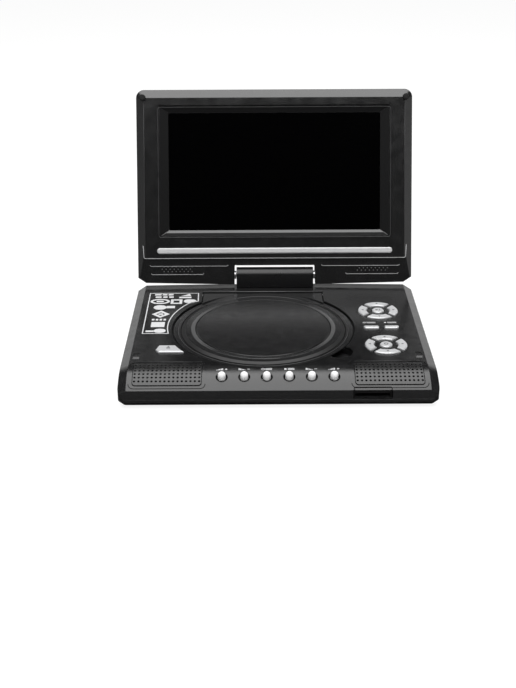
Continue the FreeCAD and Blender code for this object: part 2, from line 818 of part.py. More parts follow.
def front_and_side_openings():
    half = CASE_WIDTH / 2
    cuts = [box(CARD_LEFT_X, CARD_RIGHT_X, -WALL, 3 * WALL, CARD_LOW_Z, CARD_TOP_Z)]
    for y in JACK_Y:
        cuts.append(jack_collar(-half - WALL, -half + 2 * WALL, y, FINE))
    cuts.append(rod_x(half - 2 * WALL, half + WALL, INLET_Y, INLET_Z, INLET_R + INLET_WALL + FINE))
    slot_half = SWITCH_SLOT / 2
    slot_up = SWITCH_KNOB_H / 2 + KEY_GAP
    cuts.append(box(half - 2 * WALL, half + WALL, SWITCH_Y - slot_half, SWITCH_Y + slot_half,
                    SWITCH_Z - slot_up, SWITCH_Z + slot_up))
    return cuts


def screw_places():
    x = CASE_WIDTH / 2 - SCREW_INSET_X
    return [(side * x, y) for y in (SCREW_FRONT_Y, SCREW_BACK_Y) for side in (-1, 1)]


def foot_places():
    x = CASE_WIDTH / 2 - FOOT_INSET_X
    return [(side * x, y) for y in (FOOT_FRONT_Y, FOOT_BACK_Y) for side in (-1, 1)]


def card_hood():
    """The small lip over the card slot."""
    strip = box(CARD_LEFT_X + HOOD_T, CARD_RIGHT_X - HOOD_T, -WALL, 2 * WALL, CARD_TOP_Z, CARD_TOP_Z + HOOD_T)
    return case_solid(-HOOD_PROUD).common(strip)


def door_axis_y():
    return TAIL_BACK_Y - DOOR_GAP - DOOR_BARREL_R


def door_axis_z():
    return DECK_Z - DOOR_BARREL_R


def hinge_lugs():
    """Two blocks under the deck that hold the door's hinge pins."""
    lugs = []
    for sign in (-1, 1):
        edge = WELL_X + sign * TAIL_HALF
        x0, x1 = sorted((edge, edge + sign * HINGE_LUG))
        lugs.append(box(x0, x1, door_axis_y() - 2 * DOOR_BARREL_R, TAIL_BACK_Y,
                        DECK_Z - WALL - 2 * DOOR_BARREL_R, DECK_Z - WALL))
    return lugs


def top_case():
    inside = case_solid(WALL)
    shell = case_solid(0).cut(inside)
    shell = shell.common(box(-FAR, FAR, -FAR, FAR, PARTING_Z, FAR))
    bosses = [cylinder(x, y, BOSS_JOINT_Z, DECK_Z - WALL + FINE, BOSS_TOP_R) for x, y in screw_places()]
    bosses = [boss.common(case_solid(FINE)) for boss in bosses]
    shell = fuse([shell, card_hood()] + hinge_lugs() + pocket_lips() + bosses)
    reach = TAIL_HALF + DOOR_PIN_IN_LUG
    pins = rod_x(WELL_X - reach, WELL_X + reach, door_axis_y(), door_axis_z(), DOOR_PIN_R)
    pilots = [cylinder(x, y, 0, SCREW_END_Z + 2 * WALL, SCREW_R + RUN_GAP) for x, y in screw_places()]
    pilots = [pilot.common(box(-FAR, FAR, -FAR, FAR, 0, DECK_Z - 2 * WALL)) for pilot in pilots]
    return shell.cut(deck_openings() + front_and_side_openings() + [pins] + pilots)


def parting_lip():
    """The upright rim of the bottom case that fits inside the top case."""
    outer, inner = WALL + LIP_GAP, WALL + LIP_GAP + LIP_THICKNESS
    ring = case_solid(outer).cut(case_solid(inner))
    ring = ring.common(box(-FAR, FAR, -FAR, FAR, PARTING_Z - WALL, PARTING_Z + LIP_HEIGHT))
    root = case_solid(WALL - FINE).cut(case_solid(outer + FINE))
    root = root.common(box(-FAR, FAR, -FAR, FAR, PARTING_Z - WALL, PARTING_Z - LIP_HEIGHT / 2))
    return [ring, root]


def chassis_posts():
    """Four posts under the drive chassis."""
    posts = []
    for side in (-1, 1):
        for deep in (CHASSIS_BACK - BOSS_R, BOSS_R - CHASSIS_FRONT):
            x = WELL_X + side * (CHASSIS_HALF - BOSS_R)
            posts.append(cylinder(x, WELL_Y + deep, CASE_BOTTOM + WALL / 2, CHASSIS_Z, BOSS_TOP_R))
    return posts


def vent_slots():
    slots = []
    for i in range(VENT_COUNT):
        x = VENT_X + (i - (VENT_COUNT - 1) / 2) * VENT_PITCH
        half, half_length = VENT_WIDTH / 2, VENT_LENGTH / 2
        wire = rounded(x - half, x + half, VENT_Y - half_length, VENT_Y + half_length, half - FINE)
        slots.append(prism(wire, 0, CASE_BOTTOM + 2 * WALL))
    return slots


def bottom_case():
    shell = case_solid(0).cut(case_solid(WALL))
    shell = shell.common(box(-FAR, FAR, -FAR, FAR, 0, PARTING_Z))
    middle = CASE_BOTTOM + WALL / 2
    posts = [cylinder(x, y, middle, BOSS_JOINT_Z, BOSS_R) for x, y in screw_places()]
    posts += [cylinder(x, y, middle, CASE_BOTTOM + 2 * WALL, FOOT_R + WALL) for x, y in foot_places()]
    inside = case_solid(FINE)
    posts = [post.common(inside) for post in posts]
    body = fuse([shell] + parting_lip() + posts + chassis_posts())
    cuts = [cylinder(x, y, 0, CASE_BOTTOM + FOOT_SINK, FOOT_R) for x, y in foot_places()]
    for x, y in screw_places():
        cuts.append(cylinder(x, y, 0, DECK_Z, SCREW_R + SCREW_GAP))
        cuts.append(cylinder(x, y, 0, SCREW_SEAT_Z, SCREW_HEAD_R + SCREW_GAP))
    return body.cut(cuts + vent_slots() + front_and_side_openings())


def rubber_feet():
    feet = []
    for x, y in foot_places():
        foot = cylinder(x, y, 0, CASE_BOTTOM + FOOT_SINK, FOOT_R)
        rim = [e for e in foot.Edges if e.BoundBox.ZMax < FINE]
        feet.append(foot.makeChamfer(FOOT_EDGE, rim))
    return Part.makeCompound(feet)


def case_screws():
    screws = []
    low = SCREW_SEAT_Z - SCREW_HEAD_H
    arm, half = CROSS_LENGTH / 2, CROSS_WIDTH / 2
    for x, y in screw_places():
        head = cylinder(x, y, low, SCREW_SEAT_Z, SCREW_HEAD_R)
        shank = cylinder(x, y, SCREW_SEAT_Z - FINE, SCREW_END_Z, SCREW_R)
        cross = [box(x - arm, x + arm, y - half, y + half, 0, low + CROSS_DEPTH),
                 box(x - half, x + half, y - arm, y + arm, 0, low + CROSS_DEPTH)]
        screws.append(head.fuse(shank).cut(cross))
    return Part.makeCompound(screws)


def grille_holes(side):
    """Six-sided holes in rows that follow the curve of the front."""
    turns = [math.radians((k + 0.5) * 360 / HOLE_SIDES) for k in range(HOLE_SIDES + 1)]
    corners = [V(HOLE_R * math.cos(turn), HOLE_R * math.sin(turn), -3 * WALL) for turn in turns]
    holes = []
    for row in range(HOLE_ROWS):
        for column in range(HOLE_COLUMNS):
            x = side * GRILLE_X + (column - (HOLE_COLUMNS - 1) / 2) * HOLE_PITCH_X
            hole = Part.Face(Part.makePolygon(corners)).extrude(V(0, 0, 5 * WALL))
            holes.append(on_roll(hole, x, FIRST_ROW_ARC + row * HOLE_PITCH_ARC))
    return Part.makeCompound(holes)


def speaker_grille(side):
    """A curved perforated panel: a raised pad in the opening, and a flange behind the wall."""
    pad_block = grille_block(side, -GRILLE_GAP)
    pad = case_solid(-GRILLE_PROUD).cut(case_solid(GRILLE_T)).common(pad_block)
    link = case_solid(GRILLE_T / 2).cut(case_solid(WALL + FINE)).common(pad_block)
    flange = case_solid(WALL).cut(case_solid(WALL + GRILLE_FLANGE_T))
    flange = flange.common(grille_block(side, GRILLE_FLANGE))
    return fuse([pad, link, flange]).cut(grille_holes(side))


def oval(half_w, half_h):
    return rounded(-half_w, half_w, -half_h, half_h, half_h - OVAL_FLAT)


def speaker(side):
    """An oval speaker: frame, sunken cone and magnet, tilted to lie under its grille."""
    half_w, half_h = SPEAKER_WIDTH / 2, SPEAKER_HEIGHT / 2
    inner = oval(half_w - SPEAKER_RIM, half_h - SPEAKER_RIM)
    deep = oval(CONE_BOTTOM_HALF, half_h - 2 * SPEAKER_RIM)
    frame = prism(oval(half_w, half_h), -SPEAKER_FRAME_T, 0)
    cone = taper([(deep, -SPEAKER_CONE_DEPTH), (inner, -SPEAKER_FRAME_T + FINE)])
    low = -SPEAKER_CONE_DEPTH + SPEAKER_FRAME_T
    dish = taper([(deep, low), (inner, FINE)])
    cap = Part.makeCone(DUST_CAP_R, DUST_CAP_R / 2, DUST_CAP_H, V(0, 0, low - FINE))
    magnet = Part.makeCylinder(MAGNET_R, MAGNET_T, V(0, 0, -SPEAKER_CONE_DEPTH - MAGNET_T + FINE))
    body = fuse([fuse([frame, cone, magnet]).cut(dish), cap])
    body.translate(V(0, 0, -SPEAKER_DROP))
    return on_roll(body, side * GRILLE_X, grille_middle())


def catch_direction():
    """Unit vector from the disc's centre towards the open key."""
    x = (OPEN_LEFT_X + OPEN_SHORT_X) / 2
    y = (OPEN_FRONT_Y + OPEN_BACK_Y) / 2
    return V(x - WELL_X, y - WELL_Y, 0).normalize()


def radial_box(r0, r1, half, z0, z1):
    """A block along the direction of the open key, at a distance from the disc's centre."""
    block = box(r0, r1, -half, half, z0, z1)
    way = catch_direction()
    block.rotate(V(0, 0, 0), V(0, 0, 1), math.degrees(math.atan2(way.y, way.x)))
    block.translate(V(WELL_X, WELL_Y, 0))
    return block


def sled_reach():
    """The front and back ends, in Y, of the space that the pickup sled sweeps."""
    back = WELL_Y - SLED_START + SLED_LENGTH / 2
    return back - SLED_LENGTH - SLED_TRAVEL, back


def finger_cup():
    """The round dish in front of the door where a finger lifts it."""
    top = DECK_Z - WALL
    outer = WELL_R + WELL_WALL
    cup = cylinder(CUP_X, CUP_Y, CUP_FLOOR_Z - CUP_WALL, top, CUP_R + CUP_WALL)
    cup = cup.cut(cylinder(WELL_X, WELL_Y, 0, DECK_Z, outer - FINE))
    hollow = cylinder(CUP_X, CUP_Y, CUP_FLOOR_Z, DECK_Z, CUP_R)
    return cup, hollow.cut(cylinder(WELL_X, WELL_Y, 0, DECK_Z, outer))


def latch_guide():
    """The tunnel under the ledge that the latch slides in."""
    under = DECK_Z - WALL - LEDGE_T
    half = LATCH_HALF + LATCH_GAP
    low = CATCH_LOW_Z - LATCH_GAP
    guide = radial_box(GUIDE_IN_R, LEDGE_R, half + GUIDE_WALL, low - GUIDE_WALL, under + FINE)
    return guide.cut(radial_box(0, 2 * LEDGE_R, half, low, under))


def disc_well():
    """The bowl that a disc lies in, with the ledge that the door closes on."""
    ledge_top = DECK_Z - WALL
    outer = WELL_R + WELL_WALL
    bowl = cylinder(WELL_X, WELL_Y, WELL_FLOOR_Z - WELL_WALL, ledge_top, outer)
    bowl = bowl.cut(cylinder(WELL_X, WELL_Y, WELL_FLOOR_Z, DECK_Z, WELL_R))
    ledge = cylinder(WELL_X, WELL_Y, ledge_top - LEDGE_T, ledge_top, LEDGE_R)
    ledge = ledge.cut(cylinder(WELL_X, WELL_Y, 0, DECK_Z, outer - FINE)).common(case_solid(WALL))
    cup, cup_hollow = finger_cup()
    body = fuse([bowl, ledge, cup, latch_guide()]).cut(cup_hollow)
    step = cylinder(WELL_X, WELL_Y, WELL_FLOOR_Z - WELL_STEP, DECK_Z, WELL_STEP_R)
    hinge_room = box(-FAR, FAR, door_axis_y() - DOOR_BARREL_R - DOOR_GAP, FAR,
                     door_axis_z() - DOOR_BARREL_R - DOOR_GAP, FAR)
    motor_hole = cylinder(WELL_X, WELL_Y, 0, DECK_Z, MOTOR_R + MOTOR_HOLE_GAP)
    front, back = sled_reach()
    x0, x1 = WELL_X - SLOT_HALF, WELL_X + SLOT_HALF
    slot = prism(rounded(x0, x1, front + SLOT_CORNER, back + SLOT_MARGIN, SLOT_CORNER), 0, DECK_Z)
    sled_room = box(x0, x1, front - SLOT_MARGIN, WELL_Y, 0, SLED_TOP_Z + KEY_GAP)
    catch_hole = radial_box(CATCH_R - CATCH_GAP, CATCH_R + CATCH_T + CATCH_NOSE + CATCH_GAP,
                            CATCH_HALF + CATCH_GAP, 0, DECK_Z)
    return body.cut([step, hinge_room, motor_hole, slot, sled_room, catch_hole])


def door_plate():
    """The round plate of the disc door, from its section: raised centre, groove, ring, lower rim, skirt."""
    under = DECK_Z - DOOR_T
    rim_top = DECK_Z - DOOR_RIM_DROP
    centre_top = DECK_Z + DOOR_CENTRE_RISE
    reach = OPENING_R - DOOR_EDGE_GAP
    skirt_end = under - DOOR_SKIRT_H
    skirt_in = DOOR_SKIRT_R - DOOR_SKIRT_T
    ring_in = DOOR_CENTRE_R + DOOR_GROOVE_W
    ring_out = ring_in + DOOR_RING_W
    inner = [V(0, 0, centre_top), V(DOOR_CENTRE_R - DOOR_CENTRE_RISE, 0, centre_top),
             V(DOOR_CENTRE_R, 0, DECK_Z), V(DOOR_CENTRE_R, 0, DECK_Z - DOOR_GROOVE),
             V(ring_in, 0, DECK_Z - DOOR_GROOVE), V(ring_in, 0, DECK_Z)]
    outer = [V(ring_out, 0, DECK_Z), V(DOOR_RIM_R - DOOR_SHOULDER, 0, DECK_Z), V(DOOR_RIM_R, 0, rim_top),
             V(reach, 0, rim_top), V(reach, 0, under), V(DOOR_SKIRT_R, 0, under),
             V(DOOR_SKIRT_R, 0, skirt_end), V(skirt_in, 0, skirt_end), V(skirt_in, 0, under),
             V(0, 0, under), inner[0]]
    crown = arc(inner[-1], V(ring_in + DOOR_RING_W / 2, 0, DECK_Z + DOOR_RING_H), outer[0])
    plate = Part.Face(Part.Wire(chain(inner) + [crown] + chain(outer))).revolve(V(0, 0, 0), V(0, 0, 1), 360)
    plate.translate(V(WELL_X, WELL_Y, 0))
    return chopped(plate, door_axis_y())


def disc_door():
    """The round lid over the disc, with its hinge barrel behind and its catch at the left."""
    under = DECK_Z - DOOR_T
    x0, x1 = WELL_X - TAIL_HALF + DOOR_GAP, WELL_X + TAIL_HALF - DOOR_GAP
    tail = box(x0, x1, WELL_Y, door_axis_y(), under, DECK_Z)
    tail = tail.cut(cylinder(WELL_X, WELL_Y, 0, 2 * DECK_Z, OPENING_R - WALL))
    barrel = rod_x(x0, x1, door_axis_y(), door_axis_z(), DOOR_BARREL_R)
    tab = radial_box(CATCH_R, CATCH_R + CATCH_T, CATCH_HALF, CATCH_LOW_Z, under + FINE)
    nose_top = CATCH_LOW_Z + CATCH_NOSE_H
    nose = radial_box(CATCH_R, CATCH_R + CATCH_T + CATCH_NOSE, CATCH_HALF, CATCH_LOW_Z, nose_top)
    bores = [rod_x(x0, x0 + DOOR_BORE_DEPTH, door_axis_y(), door_axis_z(), DOOR_PIN_R + RUN_GAP),
             rod_x(x1 - DOOR_BORE_DEPTH, x1, door_axis_y(), door_axis_z(), DOOR_PIN_R + RUN_GAP)]
    return fuse([door_plate(), tail, barrel, tab, nose]).cut(bores)


def door_hinge_pins():
    pins = []
    for sign in (-1, 1):
        edge = WELL_X + sign * TAIL_HALF
        x0, x1 = sorted((edge + sign * DOOR_PIN_IN_LUG, edge - sign * DOOR_PIN_IN_DOOR))
        pins.append(rod_x(x0, x1, door_axis_y(), door_axis_z(), DOOR_PIN_R))
    return Part.makeCompound(pins)


def open_button():
    """The key that frees the disc door, with a post that would push the latch."""
    post_low = CATCH_LOW_Z + LATCH_T + LATCH_GAP + KEY_TRAVEL
    post = radial_box(OPEN_POST_R, OPEN_POST_R + OPEN_POST_T, LATCH_HALF, post_low,
                      DECK_Z - WALL - KEY_FLANGE_GAP - FINE)
    return fuse([key_solid(open_wire(0), open_wire(KEY_FLANGE)), post])


def door_latch():
    """The slider beside the door's catch."""
    start = CATCH_R + CATCH_T + CATCH_NOSE + LATCH_GAP
    bar = radial_box(start, start + LATCH_LENGTH, LATCH_HALF, CATCH_LOW_Z, CATCH_LOW_Z + LATCH_T)
    slot = radial_box(start + LATCH_T, start + LATCH_LENGTH / 2, LATCH_HALF / 2, 0, DECK_Z)
    bite = radial_box(start, start + LATCH_T / 2, LATCH_NIB_HALF, CATCH_LOW_Z, CATCH_LOW_Z + LATCH_T / 2)
    return bar.cut([slot, bite])


def rod_ends():
    """Where the guide rods rest in the chassis: the middles of the front and back saddles."""
    return sled_reach()[0] - SADDLE_LENGTH, WELL_Y - MOTOR_R + SADDLE_LENGTH / 2


def screw_ends():
    return sled_reach()[0] - SADDLE_LENGTH / 2, WELL_Y - MOTOR_R - SADDLE_LENGTH / 2


def guide_rods():
    low, high = rod_ends()
    half = SADDLE_LENGTH / 2
    rods = [rod_y(low - half, high + half, WELL_X + x, ROD_Z, ROD_R) for x in (-ROD_X, ROD_X)]
    return Part.makeCompound(rods)


def drive_chassis():
    """The plate that carries the motors, the rods and the lead screw."""
    x0, x1 = WELL_X - CHASSIS_HALF, WELL_X + CHASSIS_HALF
    top = CHASSIS_Z + CHASSIS_T
    plate = prism(rounded(x0, x1, WELL_Y - CHASSIS_FRONT, WELL_Y + CHASSIS_BACK, BOSS_R), CHASSIS_Z, top)
    window = rounded(WELL_X - SLED_HALF, WELL_X + SLED_HALF, WELL_Y - CHASSIS_WINDOW_FRONT,
                     WELL_Y - MOTOR_R - WALL, WALL)
    half, half_width = SADDLE_LENGTH / 2, SADDLE_WIDTH / 2
    saddles = []
    for x in (WELL_X - ROD_X, WELL_X + ROD_X):
        saddles += [box(x - half_width, x + half_width, y - half, y + half, top - FINE, ROD_Z)
                    for y in rod_ends()]
    half_screw = SCREW_SADDLE_WIDTH / 2
    x = WELL_X + SCREW_X
    saddles += [box(x - half_screw, x + half_screw, y - half, y + half, top - FINE, SCREW_SADDLE_TOP_Z)
                for y in screw_ends()]
    screw = rod_y(0, WELL_Y, x, SCREW_Z, SCREW_SHAFT_R + RUN_GAP)
    return fuse([plate] + saddles).cut([prism(window, 0, DECK_Z), screw] + guide_rods().Solids)


def spindle_motor():
    base = CHASSIS_Z + CHASSIS_T
    top = MOTOR_TOP_Z + MOTOR_NECK_H
    can = cylinder(WELL_X, WELL_Y, base, MOTOR_TOP_Z, MOTOR_R)
    neck = cylinder(WELL_X, WELL_Y, base, top, MOTOR_NECK_R)
    return fuse([can, neck]).cut(cylinder(WELL_X, WELL_Y, base + MOTOR_FLOOR, DECK_Z, SPINDLE_R + RUN_GAP))


def sled_motor():
    """A small round motor with flat sides, on the end of the lead screw."""
    low = screw_ends()[1] + SADDLE_LENGTH / 2
    high = low + SLED_MOTOR_LENGTH
    x = WELL_X + SCREW_X
    flats = box(x - SLED_MOTOR_R, x + SLED_MOTOR_R, low, high, CHASSIS_Z + CHASSIS_T, SCREW_SADDLE_TOP_Z)
    socket = rod_y(low, low + SCREW_SOCKET + KEY_GAP, x, SCREW_Z, SCREW_SHAFT_R + RUN_GAP)
    return rod_y(low, high, x, SCREW_Z, SLED_MOTOR_R).common(flats).cut(socket)


def lead_screw():
    low, high = screw_ends()
    half = SADDLE_LENGTH / 2
    return rod_y(low - half, high + half + SCREW_SOCKET, WELL_X + SCREW_X, SCREW_Z, SCREW_SHAFT_R)


def turntable():
    """The plate that a disc turns on, with a groove in its top and the motor's shaft below."""
    plate = cylinder(WELL_X, WELL_Y, TABLE_TOP_Z - TABLE_T, TABLE_TOP_Z, TABLE_R)
    groove = cylinder(WELL_X, WELL_Y, TABLE_TOP_Z - TABLE_GROOVE, DECK_Z, TABLE_GROOVE_OUT_R)
    groove = groove.cut(cylinder(WELL_X, WELL_Y, 0, DECK_Z, TABLE_GROOVE_IN_R))
    shaft = cylinder(WELL_X, WELL_Y, SPINDLE_END_Z, TABLE_TOP_Z - TABLE_T + FINE, SPINDLE_R)
    return fuse([plate.cut(groove), shaft])


def disc_hub():
    """The round boss that a disc's hole goes over, split into jaws at its top."""
    r = DISC_HOLE_R - HUB_CLEARANCE
    band_top = TABLE_TOP_Z + HUB_BAND
    band = cylinder(WELL_X, WELL_Y, TABLE_TOP_Z, band_top, r)
    cone = Part.makeCone(r, r - HUB_CONE_IN, HUB_CONE, V(WELL_X, WELL_Y, band_top))
    cuts = [cylinder(WELL_X, WELL_Y, band_top, DECK_Z, HUB_HOLLOW_R)]
    for k in range(JAW_COUNT):
        for side in (-1, 1):
            y = side * JAW_HALF
            slit = box(HUB_HOLLOW_R - FINE, 2 * r, y - JAW_SLIT / 2, y + JAW_SLIT / 2,
                       band_top + FINE, DECK_Z)
            slit.rotate(V(0, 0, 0), V(0, 0, 1), k * 360 / JAW_COUNT)
            slit.translate(V(WELL_X, WELL_Y, 0))
            cuts.append(slit)
    return fuse([band, cone]).cut(cuts)


def sled_middle_y():
    return WELL_Y - SLED_START


def pickup_sled():
    """The carriage that slides on the two rods and is moved by the lead screw."""
    middle = sled_middle_y()
    far, near = middle - SLED_LENGTH / 2, middle + SLED_LENGTH / 2
    body = prism(rounded(WELL_X - SLED_HALF, WELL_X + SLED_HALF, far, near, WALL), SLED_BOTTOM_Z, SLED_TOP_Z)
    ear_out = ROD_X + ROD_R + SLED_EAR_WALL
    ear_half = SLED_EAR_LENGTH / 2
    ears = [box(WELL_X + x0, WELL_X + x1, middle - ear_half, middle + ear_half, SLED_BOTTOM_Z,
                ROD_Z + ROD_R + SLED_EAR_WALL) for x0, x1 in mirrored_pairs(ear_out, SLED_HALF - FINE)]
    finger_half = SLED_FINGER_LENGTH / 2
    finger = box(WELL_X + ROD_X + ROD_R, WELL_X + SCREW_X - SCREW_SHAFT_R - SLED_FINGER_GAP,
                 middle - finger_half, middle + finger_half, SLED_BOTTOM_Z, SLED_FINGER_TOP_Z)
    cuts = [cylinder(WELL_X, middle, SLED_TOP_Z - LENS_WELL_DEPTH, DECK_Z, LENS_R + LENS_WELL_GAP)]
    half = SLED_SHOULDER_WIDTH / 2
    for side in (-1, 1):
        x = WELL_X + side * SLED_SHOULDER_X
        cuts.append(box(x - half, x + half, far, near, SLED_TOP_Z - SLED_SHOULDER_DEPTH, DECK_Z))
        cuts.append(rod_y(far, near, WELL_X + side * ROD_X, ROD_Z, ROD_R + RUN_GAP))
    return fuse([body, finger] + ears).cut(cuts)


def objective_lens():
    middle = sled_middle_y()
    base = SLED_TOP_Z - LENS_WELL_DEPTH
    rim = cylinder(WELL_X, middle, base, base + LENS_H, LENS_R)
    dome_r = 4 * LENS_R
    dome = Part.makeSphere(dome_r, V(WELL_X, middle, base + LENS_H + LENS_RISE - dome_r))
    cap = dome.common(cylinder(WELL_X, middle, base + FINE, DECK_Z, LENS_R - LENS_RIM))
    return fuse([rim, cap])


def main_board():
    """The circuit board beside the disc well, on four posts, with a row of chips."""
    board = box(BOARD_LEFT_X, BOARD_RIGHT_X, BOARD_FRONT_Y, BOARD_BACK_Y, BOARD_Z, BOARD_Z + BOARD_T)
    parts = [board]
    run = (BOARD_BACK_Y - BOARD_FRONT_Y) / len(CHIP_SIZES)
    x = (BOARD_LEFT_X + BOARD_RIGHT_X) / 2
    for i, size in enumerate(CHIP_SIZES):
        y = BOARD_FRONT_Y + (i + 0.5) * run
        parts.append(box(x - size / 2, x + size / 2, y - size / 2, y + size / 2,
                         BOARD_Z + BOARD_T - FINE, BOARD_Z + BOARD_T + CHIP_H))
    for x in (BOARD_LEFT_X + BOARD_POST_INSET, BOARD_RIGHT_X - BOARD_POST_INSET):
        for y in (BOARD_FRONT_Y + BOARD_POST_INSET, BOARD_BACK_Y - BOARD_POST_INSET):
            parts.append(cylinder(x, y, CASE_BOTTOM + WALL, BOARD_Z + FINE, BOARD_POST_R))
    return fuse(parts)


def key_board():
    """The board under the deck keys, hung from the deck on four legs."""
    x0, x1 = PAD_X - PAD_R, PAD_X + PAD_R + KEY_BOARD_MARGIN
    y0, y1 = min(PAD_Y) - PAD_R, max(PAD_Y) + PAD_R
    top = KEY_BOARD_Z + BOARD_T
    half = SWITCH_SIZE / 2
    parts = [box(x0, x1, y0, y1, KEY_BOARD_Z, top)]
    for x, y in switch_places():
        parts.append(box(x - half, x + half, y - half, y + half, top - FINE, top + SWITCH_CAN_H))
        parts.append(cylinder(x, y, top, top + SWITCH_H, STEM_R))
    for x in (x0 + KEY_BOARD_MARGIN, x1 - KEY_BOARD_MARGIN):
        for y in (y0 + KEY_BOARD_MARGIN, y1 - KEY_BOARD_MARGIN):
            parts.append(cylinder(x, y, top - FINE, DECK_Z - WALL, STEM_R))
    return fuse(parts)


def switch_board():
    """The strip behind the six round keys."""
    half = ROUND_PITCH * (ROUND_COUNT - 1) / 2 + SWITCH_SIZE
    top = -STRIP_DEPTH - SWITCH_H
    parts = [box(-half, half, -STRIP_FRONT, STRIP_BACK, top - BOARD_T, top)]
    size = STRIP_SWITCH / 2
    for i in range(ROUND_COUNT):
        x = round_x(i) - ROUND_MIDDLE_X
        parts.append(box(x - size, x + size, -size, size, top - FINE, -STRIP_DEPTH))
    return on_roll(fuse(parts), ROUND_MIDDLE_X, ROUND_ARC)


def battery_pack():
    wire = rounded(BATTERY_LEFT_X, BATTERY_RIGHT_X, BATTERY_FRONT_Y, BATTERY_BACK_Y, BATTERY_CORNER)
    return prism(wire, BATTERY_LOW_Z, WELL_FLOOR_Z)


def card_reader():
    """The plate that fills the recess in the front, and the flat socket behind it."""
    gap = CARD_PLATE_GAP
    plate = box(CARD_LEFT_X + gap, CARD_RIGHT_X - gap, CARD_DEPTH, CARD_DEPTH + CARD_PLATE_T,
                CARD_LOW_Z + gap, CARD_TOP_Z - gap)
    half = CARD_T / 2
    x0, x1 = CARD_LEFT_X + CARD_READER_INSET, CARD_RIGHT_X - CARD_READER_INSET
    up = half + CARD_READER_WALL
    body = box(x0, x1, CARD_DEPTH + CARD_PLATE_T / 2, CARD_READER_BACK_Y, CARD_SLOT_Z - up, CARD_SLOT_Z + up)
    middle = (CARD_LEFT_X + CARD_RIGHT_X) / 2
    slot = box(middle - CARD_WIDTH / 2, middle + CARD_WIDTH / 2, 0, CARD_READER_BACK_Y - WALL,
               CARD_SLOT_Z - half, CARD_SLOT_Z + half)
    return fuse([body, plate]).cut(slot)


def audio_jacks():
    jacks = []
    x0 = -CASE_WIDTH / 2
    side = JACK_BODY_HALF + SOCKET_SHOULDER
    for y in JACK_Y:
        nose = jack_collar(x0 + SOCKET_INSET, x0 + SOCKET_INSET + SOCKET_NOSE, y, 0)
        body = box(x0 + WALL + SOCKET_INSET, x0 + JACK_LENGTH + 1, y - side, y + side,
                   JACK_Z - JACK_BODY_HALF, JACK_Z + JACK_BODY_HALF)
        jacks.append(fuse([nose, body]).cut(rod_x(x0, x0 + JACK_LENGTH, y, JACK_Z, JACK_R)))
    return Part.makeCompound(jacks)


def power_inlet():
    """A round socket with a pin in its middle."""
    x1 = CASE_WIDTH / 2
    outer = INLET_R + INLET_WALL
    side = outer + SOCKET_SHOULDER
    nose = rod_x(x1 - SOCKET_INSET - SOCKET_NOSE, x1 - SOCKET_INSET, INLET_Y, INLET_Z, outer)
    body = box(x1 - INLET_LENGTH - 1, x1 - WALL - SOCKET_INSET, INLET_Y - side, INLET_Y + side,
               INLET_Z - side, INLET_Z + side)
    hole = rod_x(x1 - INLET_LENGTH, x1, INLET_Y, INLET_Z, INLET_R)
    pin = rod_x(x1 - INLET_LENGTH - FINE, x1 - INLET_PIN_INSET, INLET_Y, INLET_Z, INLET_PIN_R)
    return fuse([fuse([nose, body]).cut(hole), pin])


def power_switch():
    """The sliding switch in the right side: a ridged knob on a plate behind the wall."""
    x1 = CASE_WIDTH / 2
    y = SWITCH_Y - SWITCH_TRAVEL / 2
    face = x1 + SWITCH_PROUD
    plate_x = x1 - WALL - SWITCH_PLATE_GAP
    half, up = SWITCH_KNOB / 2, SWITCH_KNOB_H / 2
    knob = box(plate_x - SWITCH_PLATE_T, face, y - half, y + half, SWITCH_Z - up, SWITCH_Z + up)
    cuts = []
    for i in range(RIDGE_COUNT):
        middle = y + (i - (RIDGE_COUNT - 1) / 2) * RIDGE_PITCH
        low, high = middle - RIDGE_WIDTH / 2, middle + RIDGE_WIDTH / 2
        cuts.append(box(face - RIDGE_DEPTH, FAR, low, high, 0, DECK_Z))
    plate = box(plate_x - SWITCH_PLATE_T, plate_x, y - SWITCH_SLOT / 2, y + SWITCH_SLOT / 2,
                SWITCH_Z - SWITCH_KNOB_H, SWITCH_Z + SWITCH_KNOB_H)
    return fuse([knob.cut(cuts), plate])


def swivel_block():
    """The neck of the screen hinge: a round barrel on top, a foot below, and the post it turns on."""
    barrel = rod_x(-BLOCK_HALF, BLOCK_HALF, TILT_Y, TILT_Z, BARREL_R)
    back = TILT_Y + BARREL_R
    slant = math.atan2(TILT_Y - BARREL_R - BLOCK_FOOT_Y, TILT_Z - BLOCK_FOOT_Z)
    front_y = TILT_Y - BARREL_R * math.cos(slant)
    front_z = TILT_Z + BARREL_R * math.sin(slant)
    section = [(BLOCK_FOOT_Y, BLOCK_FOOT_Z), (back, BLOCK_FOOT_Z), (back, TILT_Z), (TILT_Y, TILT_Z),
               (front_y, front_z)]
    neck = across(section, -BLOCK_HALF, BLOCK_HALF)
    post_end = DECK_Z - WALL - WASHER_GAP - WASHER_T - POST_END
    post = cylinder(0, SWIVEL_Y, post_end, BLOCK_FOOT_Z + WALL, POST_R)
    bores = [rod_x(x0, x1, TILT_Y, TILT_Z, SHAFT_R) for x0, x1 in mirrored_pairs(BLOCK_HALF, SHAFT_INNER_X)]
    wires = cylinder(0, SWIVEL_Y, 0, BLOCK_FOOT_Z + WALL, POST_BORE_R)
    return fuse([barrel, neck, post]).cut(bores + [wires])


def swivel_washer():
    """Keeps the post from lifting out of the deck."""
    top = DECK_Z - WALL - WASHER_GAP
    ring = cylinder(0, SWIVEL_Y, top - WASHER_T, top, WASHER_R)
    return ring.cut(cylinder(0, SWIVEL_Y, 0, DECK_Z, POST_R))


def hinge_shafts():
    pairs = mirrored_pairs(SHAFT_OUTER_X, SHAFT_INNER_X)
    return Part.makeCompound([rod_x(x0, x1, TILT_Y, TILT_Z, SHAFT_R) for x0, x1 in pairs])


